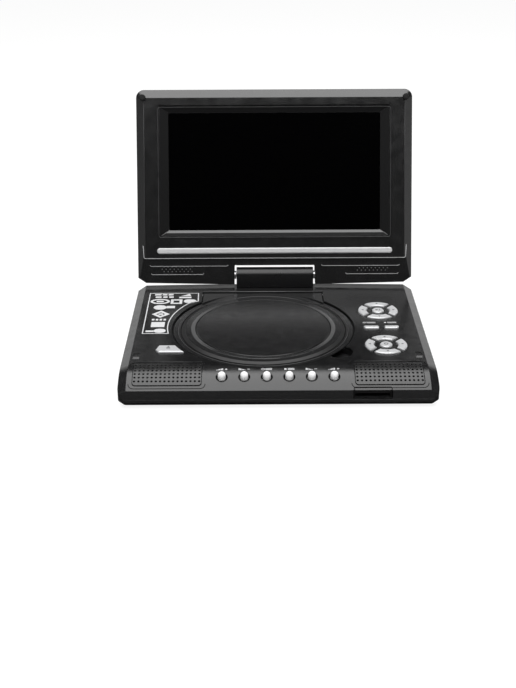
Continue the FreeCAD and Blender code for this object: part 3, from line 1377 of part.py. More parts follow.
def place_lid(shape):
    """The screen half is modelled upright, front face on y = 0, then leaned back into place."""
    shape.translate(V(0, -LID_AXIS_DEPTH, -LID_AXIS_UP))
    shape.rotate(V(0, 0, 0), V(1, 0, 0), -LEAN)
    shape.translate(V(0, TILT_Y, TILT_Z))
    return shape


def lid_wire(depth, side, top, low, radius):
    """Outline of the screen half at one depth, drawn in at its sides, top and bottom."""
    half = LID_WIDTH / 2 - side
    corner = half - LID_CORNER_X
    up = LID_HEIGHT - top
    dip = low - LID_BOW
    bend = radius * (1 - math.sqrt(0.5))
    right = [V(NOTCH_HALF, depth, dip), V(corner, depth, low), V(half, depth, low + LID_CORNER_UP),
             V(half, depth, up - radius), V(half - radius, depth, up)]
    left = [V(-p.x, p.y, p.z) for p in reversed(right)]
    edges = chain(right[:-1])
    edges.append(arc(right[-2], V(half - bend, depth, up - bend), right[-1]))
    edges.append(line(right[-1], left[0]))
    edges.append(arc(left[0], V(-half + bend, depth, up - bend), left[1]))
    edges += chain(left[1:])
    edges.append(line(left[-1], right[0]))
    return Part.Wire(edges)


def lid_solid(inset):
    """The closed screen half, every surface moved in by about inset."""
    r = LID_TOP_R - inset
    face_r = max(LID_FACE_TOP_R - inset, LID_FACE_TOP_R / 2)
    edge_depth = LID_BEVEL_DROP + inset
    rear_depth = LID_DEPTH - BACK_BEVEL_DEPTH - inset
    back_depth = LID_DEPTH - inset
    share = (BACK_LOW_DEPTH - BACK_BEVEL_DEPTH) / BACK_LOW_DEPTH
    front = lid_wire(inset, LID_BEVEL_SIDE + inset, LID_BEVEL_TOP + inset, inset, face_r)
    edge = lid_wire(edge_depth, inset, inset, inset, r)
    waist = lid_wire(LID_DEPTH - BACK_LOW_DEPTH, inset, inset, inset, r)
    rear = lid_wire(rear_depth, inset, inset, inset + BACK_LOW_BEVEL * share, r)
    back = lid_wire(back_depth, BACK_BEVEL + inset, BACK_BEVEL + inset, BACK_LOW_BEVEL + inset, face_r)
    wires = [front, edge, waist, rear, back]
    return fuse([Part.makeLoft([a, b], True, True) for a, b in zip(wires, wires[1:])])


def lid_prism(wire, d0, d1):
    """Extrude an outline drawn as (x, up) through the depth of the screen half."""
    solid = prism(wire, -d1, -d0)
    solid.rotate(V(0, 0, 0), V(1, 0, 0), 90)
    return solid


def notch_wire(grow):
    """The gap in the lower edge that the swivel block stands in."""
    half, top = NOTCH_HALF + grow, NOTCH_TOP + grow
    low = -2 * LID_AXIS_UP
    return outline([(-half, low), (half, low), (half, top, NOTCH_R), (-half, top, NOTCH_R)])


def knuckle_hole():
    reach = NOTCH_HALF + LID_WALL + SHAFT_GAP
    return rod_x(-reach, reach, LID_AXIS_DEPTH, LID_AXIS_UP, KNUCKLE_R + SHAFT_GAP)


def lid_shell():
    """The walls of the screen half. The hollow inside goes round the hinge notch."""
    hollow = lid_solid(LID_WALL).cut(lid_prism(notch_wire(LID_WALL), -FAR, FAR))
    return lid_solid(0).cut(hollow).cut([lid_prism(notch_wire(0), -FAR, FAR), knuckle_hole()])


def panel_depth(up):
    """How deep the sloped lower panel lies at a height."""
    return STEP_DEPTH + (STEP_SLOPE_DEPTH - STEP_DEPTH) * (STEP_UP - up) / STEP_UP


def lower_panel_cut():
    """What is taken off the front below the step line, so that the lower panel slopes back."""
    low = -2 * LID_AXIS_UP
    edge = STEP_END_X
    end = edge + STEP_TURN
    corners = [(-FAR, low), (FAR, low), (FAR, STEP_END_UP), (end, STEP_END_UP), (edge, STEP_UP, STEP_CORNER),
               (-edge, STEP_UP, STEP_CORNER), (-end, STEP_END_UP), (-FAR, STEP_END_UP)]
    area = lid_prism(outline(corners), -LID_DEPTH, LID_DEPTH)
    section = [(-LID_DEPTH, STEP_END_UP), (-LID_DEPTH, low), (panel_depth(low), low),
               (panel_depth(STEP_END_UP), STEP_END_UP)]
    return area.common(across(section, -FAR, FAR))


def window_cut():
    """The screen window: a shallow step, then sloped sides down to the display."""
    whole = rounded(-WINDOW_HALF, WINDOW_HALF, WINDOW_LOW, WINDOW_HIGH, WINDOW_R)
    step = lid_prism(whole, -WALL, WINDOW_STEP)
    half = WINDOW_HALF - WINDOW_LEDGE
    rim = rounded(-half, half, WINDOW_LOW + WINDOW_LEDGE, WINDOW_HIGH - WINDOW_LEDGE, SCREEN_CORNER)
    hole = rounded(-SCREEN_HALF, SCREEN_HALF, SCREEN_LOW, SCREEN_HIGH, SCREEN_CORNER)
    slope = taper([(rim, -WINDOW_STEP + FINE), (hole, -SCREEN_DEPTH)])
    slope.rotate(V(0, 0, 0), V(1, 0, 0), 90)
    return [step, slope, lid_prism(hole, SCREEN_DEPTH - FINE, LID_PARTING)]


def bezel_backing():
    """Extra thickness behind the window's sides and behind the lower panel."""
    edge = LID_WALL
    half = WINDOW_HALF + edge
    frame = rounded(-half, half, WINDOW_LOW - edge, WINDOW_HIGH + edge, WINDOW_R)
    frame = lid_prism(frame, FINE, SCREEN_DEPTH + SCREEN_SKIN)
    lower = lid_prism(rounded(-STEP_END_X, STEP_END_X, 0, WINDOW_LOW - edge / 2, WINDOW_R), FINE, LOWER_SKIN)
    space = lid_solid(FINE).cut(lid_prism(notch_wire(FINE), -FAR, FAR))
    return [frame.common(space), lower.common(space)]


def bezel_grooves():
    grooves = []
    half = GROOVE_W / 2
    for up, inner, inset in zip(GROOVE_UP, GROOVE_INNER_X, GROOVE_OUTER_INSET):
        for x0, x1 in mirrored_pairs(LID_WIDTH / 2 - inset, inner):
            wire = rounded(x0, x1, up - half, up + half, half - FINE)
            grooves.append(lid_prism(wire, -WALL, panel_depth(up) + GROOVE_DEPTH))
    return grooves


def bar_wire(inset):
    """The long rounded bar under the screen."""
    half, low, high = BAR_HALF - inset, BAR_LOW + inset, BAR_LOW + BAR_HEIGHT - inset
    return rounded(-half, half, low, high, (high - low) / 2 - FINE)


def screen_bezel():
    front = lid_shell().common(box(-FAR, FAR, -FAR, LID_PARTING, -FAR, FAR))
    front = fuse([front] + bezel_backing())
    tube = TUBE_OUTER_X + KNUCKLE_GAP
    cuts = [knuckle_hole(), rod_x(-tube, tube, LID_AXIS_DEPTH, LID_AXIS_UP, TUBE_R + KNUCKLE_GAP)]
    cuts += [lower_panel_cut(), lid_prism(bar_wire(0), -WALL, BAR_SINK)]
    for side in (-1, 1):
        cuts.append(lid_prism(moved(circle_wire(BUFFER_R), side * BUFFER_X, BUFFER_UP), -WALL, BUFFER_SINK))
    return front.cut(cuts + bezel_grooves() + window_cut())


def screen_cover():
    return lid_shell().common(box(-FAR, FAR, LID_PARTING, FAR, -FAR, FAR))


def panel_wire(margin, radius):
    """The display's outline, larger all round by a margin."""
    half = SCREEN_HALF + margin
    return rounded(-half, half, SCREEN_LOW - margin, SCREEN_HIGH + margin, radius)


def panel_front():
    return SCREEN_DEPTH + SCREEN_SKIN


def lcd_panel():
    return lid_prism(panel_wire(PANEL_MARGIN, SCREEN_CORNER), panel_front(), panel_front() + PANEL_T)


def lcd_backlight():
    """A tray behind the display."""
    start = panel_front() + PANEL_T
    tray = lid_prism(panel_wire(BACKLIGHT_MARGIN, SCREEN_CORNER), start, start + BACKLIGHT_T)
    hollow = panel_wire(BACKLIGHT_MARGIN - BACKLIGHT_RIM, BACKLIGHT_CORNER)
    return tray.cut(lid_prism(hollow, start + BACKLIGHT_FLOOR, start + LID_DEPTH))


def front_edges(solid, depth):
    """The edges that lie on the front face of a piece of the screen half."""
    return [e for e in solid.Edges if e.BoundBox.YMax < FINE - depth]


def trim_bar():
    bar = lid_prism(bar_wire(FINE), -BAR_PROUD, BAR_SINK)
    return bar.makeChamfer(KEY_EDGE, front_edges(bar, BAR_PROUD))


def lid_buffers():
    """Two rubber stops that meet the deck when the screen is closed."""
    buffers = []
    for side in (-1, 1):
        wire = moved(circle_wire(BUFFER_R - FINE), side * BUFFER_X, BUFFER_UP)
        body = lid_prism(wire, -BUFFER_PROUD, BUFFER_SINK)
        buffers.append(body.makeChamfer(BUFFER_EDGE, front_edges(body, BUFFER_PROUD)))
    return Part.makeCompound(buffers)


def hinge_brackets():
    """Each turns on a hinge shaft and is fixed to the screen half by its arm."""
    brackets = []
    inner = BLOCK_HALF + KNUCKLE_GAP
    depth, up = LID_AXIS_DEPTH, LID_AXIS_UP
    tubes = mirrored_pairs(TUBE_OUTER_X, inner)
    collars = mirrored_pairs(NOTCH_HALF + LID_WALL, inner)
    arms = mirrored_pairs(TUBE_OUTER_X, TUBE_OUTER_X - BRACKET_WIDTH)
    for tube, collar, arm in zip(tubes, collars, arms):
        parts = [rod_x(tube[0], tube[1], depth, up, TUBE_R),
                 rod_x(collar[0], collar[1], depth, up, KNUCKLE_R),
                 box(arm[0], arm[1], depth, depth + BRACKET_T, up, up + BRACKET_UP)]
        bore = rod_x(tube[0], tube[1], depth, up, SHAFT_R + SHAFT_GAP)
        brackets.append(fuse(parts).cut(bore))
    return Part.makeCompound(brackets)


def fixed_nodes():
    return {
        "bottom_case": bottom_case(),
        "top_case": top_case(),
        "speaker_grille_left": speaker_grille(-1),
        "speaker_grille_right": speaker_grille(1),
        "speaker_left": speaker(-1),
        "speaker_right": speaker(1),
        "rubber_feet": rubber_feet(),
        "case_screws": case_screws(),
        "disc_well": disc_well(),
        "drive_chassis": drive_chassis(),
        "guide_rods": guide_rods(),
        "spindle_motor": spindle_motor(),
        "sled_motor": sled_motor(),
        "door_hinge_pins": door_hinge_pins(),
        "main_board": main_board(),
        "key_board": key_board(),
        "switch_board": switch_board(),
        "battery_pack": battery_pack(),
        "card_reader": card_reader(),
        "audio_jacks": audio_jacks(),
        "power_inlet": power_inlet(),
    }


def drive_and_hinge_nodes():
    return {
        "turntable": turntable(),
        "disc_hub": disc_hub(),
        "pickup_sled": pickup_sled(),
        "objective_lens": objective_lens(),
        "lead_screw": lead_screw(),
        "disc_door": disc_door(),
        "door_latch": door_latch(),
        "power_switch": power_switch(),
        "swivel_block": swivel_block(),
        "swivel_washer": swivel_washer(),
        "hinge_shafts": hinge_shafts(),
    }


def key_nodes():
    nodes = {"open_button": open_button(), "menu_key_left": menu_key(0), "menu_key_right": menu_key(1)}
    for pad, pad_name in enumerate(("upper_pad", "lower_pad")):
        for quarter, side in enumerate(("back", "left", "front", "right")):
            nodes[pad_name + "_" + side + "_key"] = pad_key(pad, quarter)
        nodes[pad_name + "_centre_key"] = pad_core(pad)
    for i in range(ROUND_COUNT):
        nodes["round_key_" + str(i + 1)] = round_key(i)
    return nodes


def screen_nodes():
    nodes = {
        "screen_bezel": screen_bezel(),
        "screen_cover": screen_cover(),
        "lcd_panel": lcd_panel(),
        "lcd_backlight": lcd_backlight(),
        "trim_bar": trim_bar(),
        "lid_buffers": lid_buffers(),
        "hinge_brackets": hinge_brackets(),
    }
    return {name: place_lid(shape) for name, shape in nodes.items()}


def build():
    nodes = fixed_nodes()
    nodes.update(drive_and_hinge_nodes())
    nodes.update(key_nodes())
    nodes.update(screen_nodes())
    boxes = [shape.optimalBoundingBox() for shape in nodes.values()]
    middle = (min(b.YMin for b in boxes) + max(b.YMax for b in boxes)) / 2
    os.makedirs("parts", exist_ok=True)
    for name, shape in nodes.items():
        shape.translate(V(0, -middle, 0))
        shape.exportStep("parts/" + name + ".step")


build()
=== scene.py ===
import json
import math

import bmesh
import bpy
from mathutils import Matrix, Vector


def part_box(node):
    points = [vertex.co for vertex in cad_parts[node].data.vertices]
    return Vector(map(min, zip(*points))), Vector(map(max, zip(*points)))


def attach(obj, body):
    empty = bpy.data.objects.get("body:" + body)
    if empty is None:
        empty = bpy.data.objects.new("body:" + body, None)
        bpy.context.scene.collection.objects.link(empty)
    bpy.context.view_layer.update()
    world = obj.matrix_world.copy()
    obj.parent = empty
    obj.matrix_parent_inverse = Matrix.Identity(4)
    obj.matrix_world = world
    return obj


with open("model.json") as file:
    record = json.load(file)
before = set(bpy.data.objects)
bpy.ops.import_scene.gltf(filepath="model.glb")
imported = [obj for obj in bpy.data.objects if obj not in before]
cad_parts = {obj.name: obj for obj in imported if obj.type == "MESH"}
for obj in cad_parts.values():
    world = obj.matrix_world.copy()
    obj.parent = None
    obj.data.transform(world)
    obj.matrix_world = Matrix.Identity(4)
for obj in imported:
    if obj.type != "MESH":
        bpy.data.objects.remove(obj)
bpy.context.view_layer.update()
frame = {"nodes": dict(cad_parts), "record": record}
NODES = frame["nodes"]

# Sizes of the solids in millimetres: X from the middle, Y back from the front edge, Z up.
FRONT_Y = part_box("bottom_case")[0][1]  # the front edge's place in the frame, in metres
DECK_Z = 21.5
ROLL_Y = 26.2
ROLL_R = 39.0
WELL_X = -10.1
WELL_Y = 90.1
OPENING_R = 69.0
DOOR_RING_IN = 51.6
DOOR_RING_OUT = 55.1
SHOULDER_R = 59.2
SHOULDER_WIDTH = 3.0
RIM_DROP = 1.0
PLATE_LIFT = 0.02
TAIL_HALF = 48.9
TAIL_Y = 159.5
KEY_TOP = 1.3
PAD_X = 80.15
PAD_Y = {"upper_pad": 119.0, "lower_pad": 57.0}
PAD_REACH = 12.15
ROUND_COUNT = 6
ROUND_PITCH = 15.8
ROUND_MIDDLE_X = -0.2
ROUND_ARC = 14.5
GRILLE_X = 78.1
BLOCK_HALF = 31.5
TILT_Y = 175.4
TILT_Z = 30.06
LEAN = math.radians(21.07)
AXIS_UP = 6.3
AXIS_DEPTH = 5.5
STEP_UP = 20.0
STEP_DEPTH = 0.7
STEP_SLOPE = 1.5
WINDOW_STEP = 0.6
SCREEN_DEPTH = 2.4

SIDES = (("left", -1), ("right", 1))
SKIN = 0.03         # how far flat pieces reach above the surface they lie on
THICKNESS = 0.04    # of flat pieces above that


# Surfaces that the small pieces lie on: two places along the surface and a height above it

def place(x, y, z):
    return Vector((x / 1000, y / 1000 + FRONT_Y, z / 1000))


def on_deck(x, y, h=0.0):
    return place(x, y, DECK_Z + h)


def on_key(x, y, h=0.0):
    return on_deck(x, y, KEY_TOP + h)


def on_plate(x, y, h=0.0):
    """The plate of the door, a little above it."""
    return on_deck(x, y, h + PLATE_LIFT)


def on_rim(x, y, h=0.0):
    """The lowered rim of the door."""
    return on_deck(x, y, h - RIM_DROP)


def on_shoulder(x, y, h=0.0):
    """The slope of the door between its plate and its rim."""
    return on_deck(x, y, h - (math.hypot(x - WELL_X, y - WELL_Y) - SHOULDER_R) / SHOULDER_WIDTH)


def on_roll(x, along, h=0.0):
    """The rolled front; along counts forwards from where the roll starts."""
    a = along / ROLL_R
    r = ROLL_R + h
    return place(x, ROLL_Y - r * math.sin(a), DECK_Z - ROLL_R + r * math.cos(a))


def on_front(x, along, h=0.0):
    """As on_roll, and running on over the flat deck behind it."""
    if along < 0:
        return place(x, ROLL_Y - along, DECK_Z + h)
    return on_roll(x, along, h)


def on_lid(x, up, h=0.0):
    """The front face of the screen half; h stands out from it."""
    dy, dz = -h - AXIS_DEPTH, up - AXIS_UP
    return place(x, TILT_Y + dy * math.cos(LEAN) + dz * math.sin(LEAN),
                 TILT_Z - dy * math.sin(LEAN) + dz * math.cos(LEAN))


def panel_depth(up):
    """The lower panel of the screen half slopes back below its step."""
    return STEP_DEPTH + STEP_SLOPE * (STEP_UP - up) / STEP_UP


def on_panel(x, up, h=0.0):
    return on_lid(x, up, h - panel_depth(up))


# Materials

MOST = (0.3, 0.7)           # where most of a noise's values lie
FLOW_SCALE = 38.0           # flow marks, smudges and grain of moulded plastic
SMUDGE_SCALE = 140.0
GRAIN_SCALE = 2600.0
GRAIN_DEPTH = 0.00005
FLOW_DARK = 0.82
FLOW_LIGHT = 1.18
WEAR = 1.5                  # how much lighter rubbed edges are, and how much of that shows
WEAR_SHARE = 0.6
EDGE_FLAT = 0.995           # edge mask: cosine on flats and on full edges
EDGE_FULL = 0.8
# colour of the painted highlight on the door's ring
RING_PAINTED_HIGHLIGHT = (0.07, 0.07, 0.071)
RING_FADE_IN = 0.4          # millimetres over which the ring's painted highlight fades at its two edges
RING_FADE_OUT = 0.6
RING_HIGHLIGHT_SIDES = (0.6, 0.9)       # how far to the side the ring's painted highlight starts and is full


def socket(node, name, value):
    node.inputs[name].default_value = value


def times(colour, factor):
    return tuple(min(1.0, c * factor) for c in colour)


class Tree:
    """Adds linked nodes to the node tree of a material or a world."""

    def __init__(self, owner):
        owner.use_nodes = True
        self.nodes = owner.node_tree.nodes
        self.links = owner.node_tree.links

    def add(self, kind, **sockets):
        node = self.nodes.new("ShaderNode" + kind)
        for name, value in sockets.items():
            socket(node, name.replace("_", " "), value)
        return node

    def link(self, source, target):
        self.links.new(source, target)

    def take(self, node, index, value):
        """Links an input to another node's output, or sets it to a fixed value."""
        if isinstance(value, bpy.types.NodeSocket):
            self.link(value, node.inputs[index])
        else:
            node.inputs[index].default_value = value

    def math(self, operation, a, b=None):
        node = self.add("Math")
        node.operation = operation
        self.take(node, 0, a)
        if b is not None:
            self.take(node, 1, b)
        return node.outputs[0]

    def vector(self, operation, a, b=None):
        node = self.add("VectorMath")
        node.operation = operation
        self.take(node, 0, a)
        if b is not None:
            self.take(node, 1, b)
        return node.outputs["Value" if operation in ("LENGTH", "DOT_PRODUCT") else "Vector"]

    def spread(self, value, low, high, out_low=0.0, out_high=1.0, smooth=False):
        """Maps a range of values to another."""
        node = self.add("MapRange", From_Min=low, From_Max=high, To_Min=out_low, To_Max=out_high)
        if smooth:
            node.interpolation_type = "SMOOTHSTEP"
        self.link(value, node.inputs["Value"])
        return node.outputs["Result"]

    def mix_shaders(self, factor, a, b):
        node = self.add("MixShader")
        for index, source in enumerate((factor, a, b)):
            self.link(source, node.inputs[index])
        return node.outputs[0]

    def ray(self, kind):
        return self.add("LightPath").outputs[kind]


class Look(Tree):
    """A Principled material with a small kit of procedural layers."""

    def __init__(self, name, rough=0.5, metal=0.0, spec=0.5):
        self.mat = bpy.data.materials.new(name)
        super().__init__(self.mat)
        self.shader = self.nodes["Principled BSDF"]
        socket(self.shader, "Roughness", rough)
        socket(self.shader, "Metallic", metal)
        socket(self.shader, "Specular IOR Level", spec)
        self.coord = self.add("TexCoord").outputs["Object"]
        self.normal = None

    def noise(self, scale, detail=2.0, rough=0.5, stretch=None):
        node = self.add("TexNoise", Scale=scale, Detail=detail, Roughness=rough)
        source = self.coord
        if stretch:
            mapping = self.add("Mapping", Scale=stretch)
            self.link(source, mapping.inputs["Vector"])
            source = mapping.outputs["Vector"]
        self.link(source, node.inputs["Vector"])
        return node.outputs["Fac"]

    def blend(self, factor, a, b):
        node = self.add("Mix")
        node.data_type = "RGBA"
        self.link(factor, node.inputs[0])
        for index, colour in ((6, a), (7, b)):
            self.take(node, index, colour + (1.0,) if isinstance(colour, tuple) else colour)
        return node.outputs[2]

    def soft_edges(self, radius):
        """Rounds sharp edges in the shading, as moulded parts have."""
        node = self.add("Bevel", Radius=radius)
        node.samples = 4
        self.normal = node.outputs["Normal"]

    def edge_mask(self):
        """Near 1 on edges and 0 on flats."""
        flat = self.add("NewGeometry").outputs["Normal"]
        return self.spread(self.vector("DOT_PRODUCT", self.normal, flat), EDGE_FLAT, EDGE_FULL)

    def bump(self, height, strength, distance):
        node = self.add("Bump", Strength=strength, Distance=distance)
        self.link(height, node.inputs["Height"])
        if self.normal:
            self.link(self.normal, node.inputs["Normal"])
        self.normal = node.outputs["Normal"]

    def colour(self, source):
        self.link(source, self.shader.inputs["Base Color"])

    def roughness(self, pattern, smoothest, roughest):
        self.link(self.spread(pattern, *MOST, smoothest, roughest), self.shader.inputs["Roughness"])

    def moulded(self, rough, grain):
        """Smudges and fine spark-eroded grain."""
        self.roughness(self.noise(SMUDGE_SCALE, 3.0, 0.55), rough - 0.04, rough + 0.05)
        self.bump(self.noise(GRAIN_SCALE, 2.0, 0.6), grain, GRAIN_DEPTH)

    def flow_marks(self, colour):
        flow = self.noise(FLOW_SCALE, 4.0, 0.6)
        return self.blend(flow, times(colour, FLOW_DARK), times(colour, FLOW_LIGHT))

    def done(self):
        if self.normal:
            self.link(self.normal, self.shader.inputs["Normal"])
        return self.mat


def plastic(name, colour, rough, grain=0.25, spec=0.5, edge=0.0003):
    """Moulded plastic: fine grain, faint flow marks, edges rubbed a little lighter."""
    look = Look(name, spec=spec)
    look.soft_edges(edge)
    edges = look.spread(look.edge_mask(), 0.0, 1.0, 0.0, WEAR_SHARE)
    look.colour(look.blend(edges, look.flow_marks(colour), times(colour, WEAR)))
    look.moulded(rough, grain)
    return look.done()


def door_plastic(name, colour, rough):
    """The door's plastic, with a painted highlight on its ring, lighter at the ring's left and right.
    """
    look = Look(name, spec=0.65)
    look.soft_edges(0.0003)
    centre = NODES["disc_door"].matrix_world.inverted() @ on_deck(WELL_X, WELL_Y)
    level = look.vector("MULTIPLY", look.vector("SUBTRACT", look.coord, centre), (1.0, 1.0, 0.0))
    radius = look.vector("LENGTH", level)
    parts = look.add("SeparateXYZ")
    look.link(look.vector("NORMALIZE", level), parts.inputs[0])
    side = look.math("ABSOLUTE", parts.outputs["X"])
    # The painted highlight: a band between the ring's edges, lighter towards its left and right
    inner = look.spread(radius, DOOR_RING_IN / 1000, (DOOR_RING_IN + RING_FADE_IN) / 1000)
    outer = look.spread(radius, (DOOR_RING_OUT - RING_FADE_OUT) / 1000, DOOR_RING_OUT / 1000, 1.0, 0.0)
    band = look.math("MULTIPLY", look.math("MULTIPLY", inner, outer), look.spread(side, *RING_HIGHLIGHT_SIDES))
    look.colour(look.blend(band, look.flow_marks(colour), RING_PAINTED_HIGHLIGHT))
    look.moulded(rough, 0.12)
    return look.done()


def silver_paint(name, colour, rough, metal):
    """Metallic paint on a key: tiny flakes under a satin surface."""
    look = Look(name, metal=metal)
    look.soft_edges(0.00025)
    flakes = look.add("TexVoronoi", Scale=5200.0)
    look.link(look.coord, flakes.inputs["Vector"])
    glint = look.spread(flakes.outputs["Distance"], 0.0, 0.6)
    look.colour(look.blend(glint, times(colour, 1.06), times(colour, 0.9)))
    look.roughness(look.noise(260.0, 3.0), rough - 0.05, rough + 0.06)
    look.bump(look.noise(3800.0), 0.08, 0.00003)
    return look.done()


def brushed(name, colour, rough, across=40.0, metal=1.0):
    """Metal drawn along X; its lines are that many times finer across."""
    look = Look(name, metal=metal)
    look.soft_edges(0.0002)
    lines = look.noise(220.0, 5.0, 0.7, (1.0, across, across))
    look.colour(look.blend(lines, times(colour, 0.86), times(colour, 1.08)))
    look.roughness(lines, rough - 0.06, rough + 0.08)
    look.bump(lines, 0.12, 0.00004)
    return look.done()


def rubber(name, colour):
    """Dull rubber with a little dust."""
    look = Look(name, rough=0.85, spec=0.25)
    look.soft_edges(0.0004)
    dust = look.spread(look.noise(420.0, 4.0, 0.65), 0.35, 0.75)
    look.colour(look.blend(dust, colour, times(colour, 1.9)))
    look.bump(look.noise(1800.0, 3.0), 0.3, 0.00008)
    return look.done()


def print_ink(name, colour):
    """Screen-printed ink: slightly uneven cover, with the grain of the case showing through."""
    look = Look(name, rough=0.55, spec=0.3)
    cover = look.spread(look.noise(900.0, 3.0, 0.7), 0.35, 0.65)
    look.colour(look.blend(cover, times(colour, 0.88), colour))
    look.bump(look.noise(GRAIN_SCALE), 0.15, 0.00004)
    return look.done()


def display_face(name):
    """The unlit display: black, with the faint satin of its outer film."""
    look = Look(name, spec=0.03)
    haze = look.noise(24.0, 3.0)
    look.colour(look.blend(haze, (0.0003, 0.0003, 0.0004), (0.0006, 0.0006, 0.0007)))
    look.roughness(look.noise(300.0), 0.18, 0.22)
    look.bump(look.noise(5200.0), 0.03, 0.00002)
    return look.done()


def circuit_board(name):
    """Green lacquer over rows of tracks."""
    look = Look(name, rough=0.45)
    tracks = look.add("TexBrick", Scale=160.0, Color1=(0.02, 0.13, 0.05, 1),
                      Color2=(0.025, 0.16, 0.06, 1), Mortar=(0.05, 0.24, 0.1, 1))
    look.link(look.coord, tracks.inputs["Vector"])
    look.colour(tracks.outputs["Color"])
    look.bump(tracks.outputs["Fac"], 0.2, 0.00003)
    return look.done()


def paper_cone(name):
    """The fibrous paper of a speaker."""
    look = Look(name, rough=0.8, spec=0.2)
    fibres = look.noise(700.0, 5.0, 0.75)
    look.colour(look.blend(fibres, (0.006, 0.006, 0.006), (0.02, 0.02, 0.021)))
    look.bump(fibres, 0.4, 0.0001)
    return look.done()


def lens_glass(name):
    """The coated lens of the pickup."""
    look = Look(name, rough=0.08, spec=0.6)
    look.colour(look.blend(look.noise(90.0), (0.02, 0.03, 0.09), (0.05, 0.06, 0.16)))
    look.bump(look.noise(2500.0), 0.01, 0.00001)
    return look.done()


def trim_plastic(name, colour, rough=0.3, grain=0.05, spec=0.5):
    """As plastic, for beads and lines too thin for wide soft edges."""
    return plastic(name, colour, rough, grain, spec, edge=0.0001)


DOOR_BLACK = (0.011, 0.011, 0.0113)

LOOKS = {
    "case_dark": plastic("case_plastic", (0.0055, 0.0055, 0.0058), 0.22, grain=0.2, spec=0.68),
    "grille_dark": plastic("grille_plastic", (0.008, 0.008, 0.0083), 0.26, grain=0.15, spec=0.68),
    "door_dark": door_plastic("door_plastic", DOOR_BLACK, 0.22),
    "well_black": plastic("well_plastic", (0.006, 0.006, 0.0065), 0.5, spec=0.3),
    "key_silver": silver_paint("key_silver_paint", (0.64, 0.645, 0.655), 0.36, metal=0.35),
    "screen_frame_dark": plastic("screen_plastic", (0.006, 0.006, 0.0062), 0.2, grain=0.1, spec=1.0),
    "display_black": display_face("display_face"),
    "tray_white": plastic("tray_plastic", (0.62, 0.62, 0.6), 0.55),
    "rubber_black": rubber("black_rubber", (0.012, 0.012, 0.012)),
    "hinge_black": plastic("hinge_plastic", (0.004, 0.004, 0.0045), 0.3, grain=0.15),
    "steel": brushed("drawn_steel", (0.5, 0.5, 0.51), 0.32),
    "drive_black": plastic("drive_plastic", (0.012, 0.012, 0.012), 0.45),
    "hub_white": plastic("hub_plastic", (0.6, 0.6, 0.58), 0.4, grain=0.1),
    "lens_glass": lens_glass("pickup_lens"),
    "board_green": circuit_board("board_lacquer"),
    "cone_black": paper_cone("speaker_paper"),
    "battery_grey": plastic("battery_wrap", (0.03, 0.03, 0.034), 0.5),
    "socket_black": plastic("socket_plastic", (0.006, 0.006, 0.006), 0.45),
}
for row in frame["record"]["subparts"]:
    mesh = NODES[row["node"]].data
    mesh.materials.clear()
    mesh.materials.append(LOOKS[row["material_slot"]])

BAR = brushed("bar_silver", (0.72, 0.72, 0.725), 0.3, across=30.0, metal=0.3)
NODES["trim_bar"].data.materials[0] = BAR
INK = print_ink("white_ink", (0.62, 0.62, 0.63))
GREY_INK = print_ink("grey_ink", (0.1, 0.1, 0.105))
# light grey of the painted highlight beads on the screen half
BRIGHT_PAINTED_HIGHLIGHT = trim_plastic("bright_highlight_plastic", (0.4, 0.4, 0.403))
# grey of the lid's dots, and of the painted highlight bead behind the door's hinge
DOT_AND_HIGHLIGHT_GREY = trim_plastic("dot_and_highlight_plastic", (0.1, 0.1, 0.101))
# black for the lines of painted shade in gaps, grooves and recesses
PAINTED_SHADE = trim_plastic("painted_shade_black", (0.001, 0.001, 0.001), rough=0.8, grain=0.1, spec=0.1)
# dim grey of the fainter painted highlight beads along edges
FAINT_PAINTED_HIGHLIGHT = trim_plastic("faint_highlight_plastic", (0.045, 0.045, 0.046))
# matt dark plastic for the skins in the screen's recess, and for the painted shadow in front of the
# swivel
MATT_DARK_AND_PAINTED_SHADOW = plastic("window_plastic_and_painted_shadow", (0.004, 0.004, 0.0042), 0.55, grain=0.1, spec=0.16)
SHOULDER_DARK = plastic("shoulder_plastic", DOOR_BLACK, 0.34, grain=0.12, spec=0.34)
TAIL_DARK = plastic("door_tail_plastic", DOOR_BLACK, 0.22, grain=0.12, spec=0.65)
PEARL = silver_paint("pearl_key_paint", (0.93, 0.93, 0.93), 0.3, metal=0.0)
for number in range(1, ROUND_COUNT + 1):
    NODES["round_key_" + str(number)].data.materials[0] = PEARL


# Meshes of the small pieces

ARC_STEPS = 6       # along the round end or corner of an outline
TUBE_SIDES = 8
SHARPEST = 0.3      # keeps a line's corners from reaching too far
FINE_BEAD_R = 0.22


def finish_mesh(name, bm, material, body, slot):
    """Turns a mesh into a piece that rides on a body and has a material slot."""
    mesh = bpy.data.meshes.new(name)
    bmesh.ops.recalc_face_normals(bm, faces=bm.faces)
    bm.to_mesh(mesh)
    bm.free()
    piece = bpy.data.objects.new(name, mesh)
    bpy.context.collection.objects.link(piece)
    mesh.materials.append(material)
    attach(piece, body)


def plate(bm, low, high):
    """A closed plate between two outlines with as many points."""
    low = [bm.verts.new(point) for point in low]
    high = [bm.verts.new(point) for point in high]
    bm.faces.new(high)
    bm.faces.new(low[::-1])
    for i in range(len(low)):
        j = (i + 1) % len(low)
        bm.faces.new((low[i], low[j], high[j], high[i]))


def slab(bm, points, surface):
    """A thin plate with the outline points, laid on a surface function."""
    plate(bm, [surface(x, y, SKIN / 2) for x, y in points],
          [surface(x, y, SKIN + THICKNESS) for x, y in points])


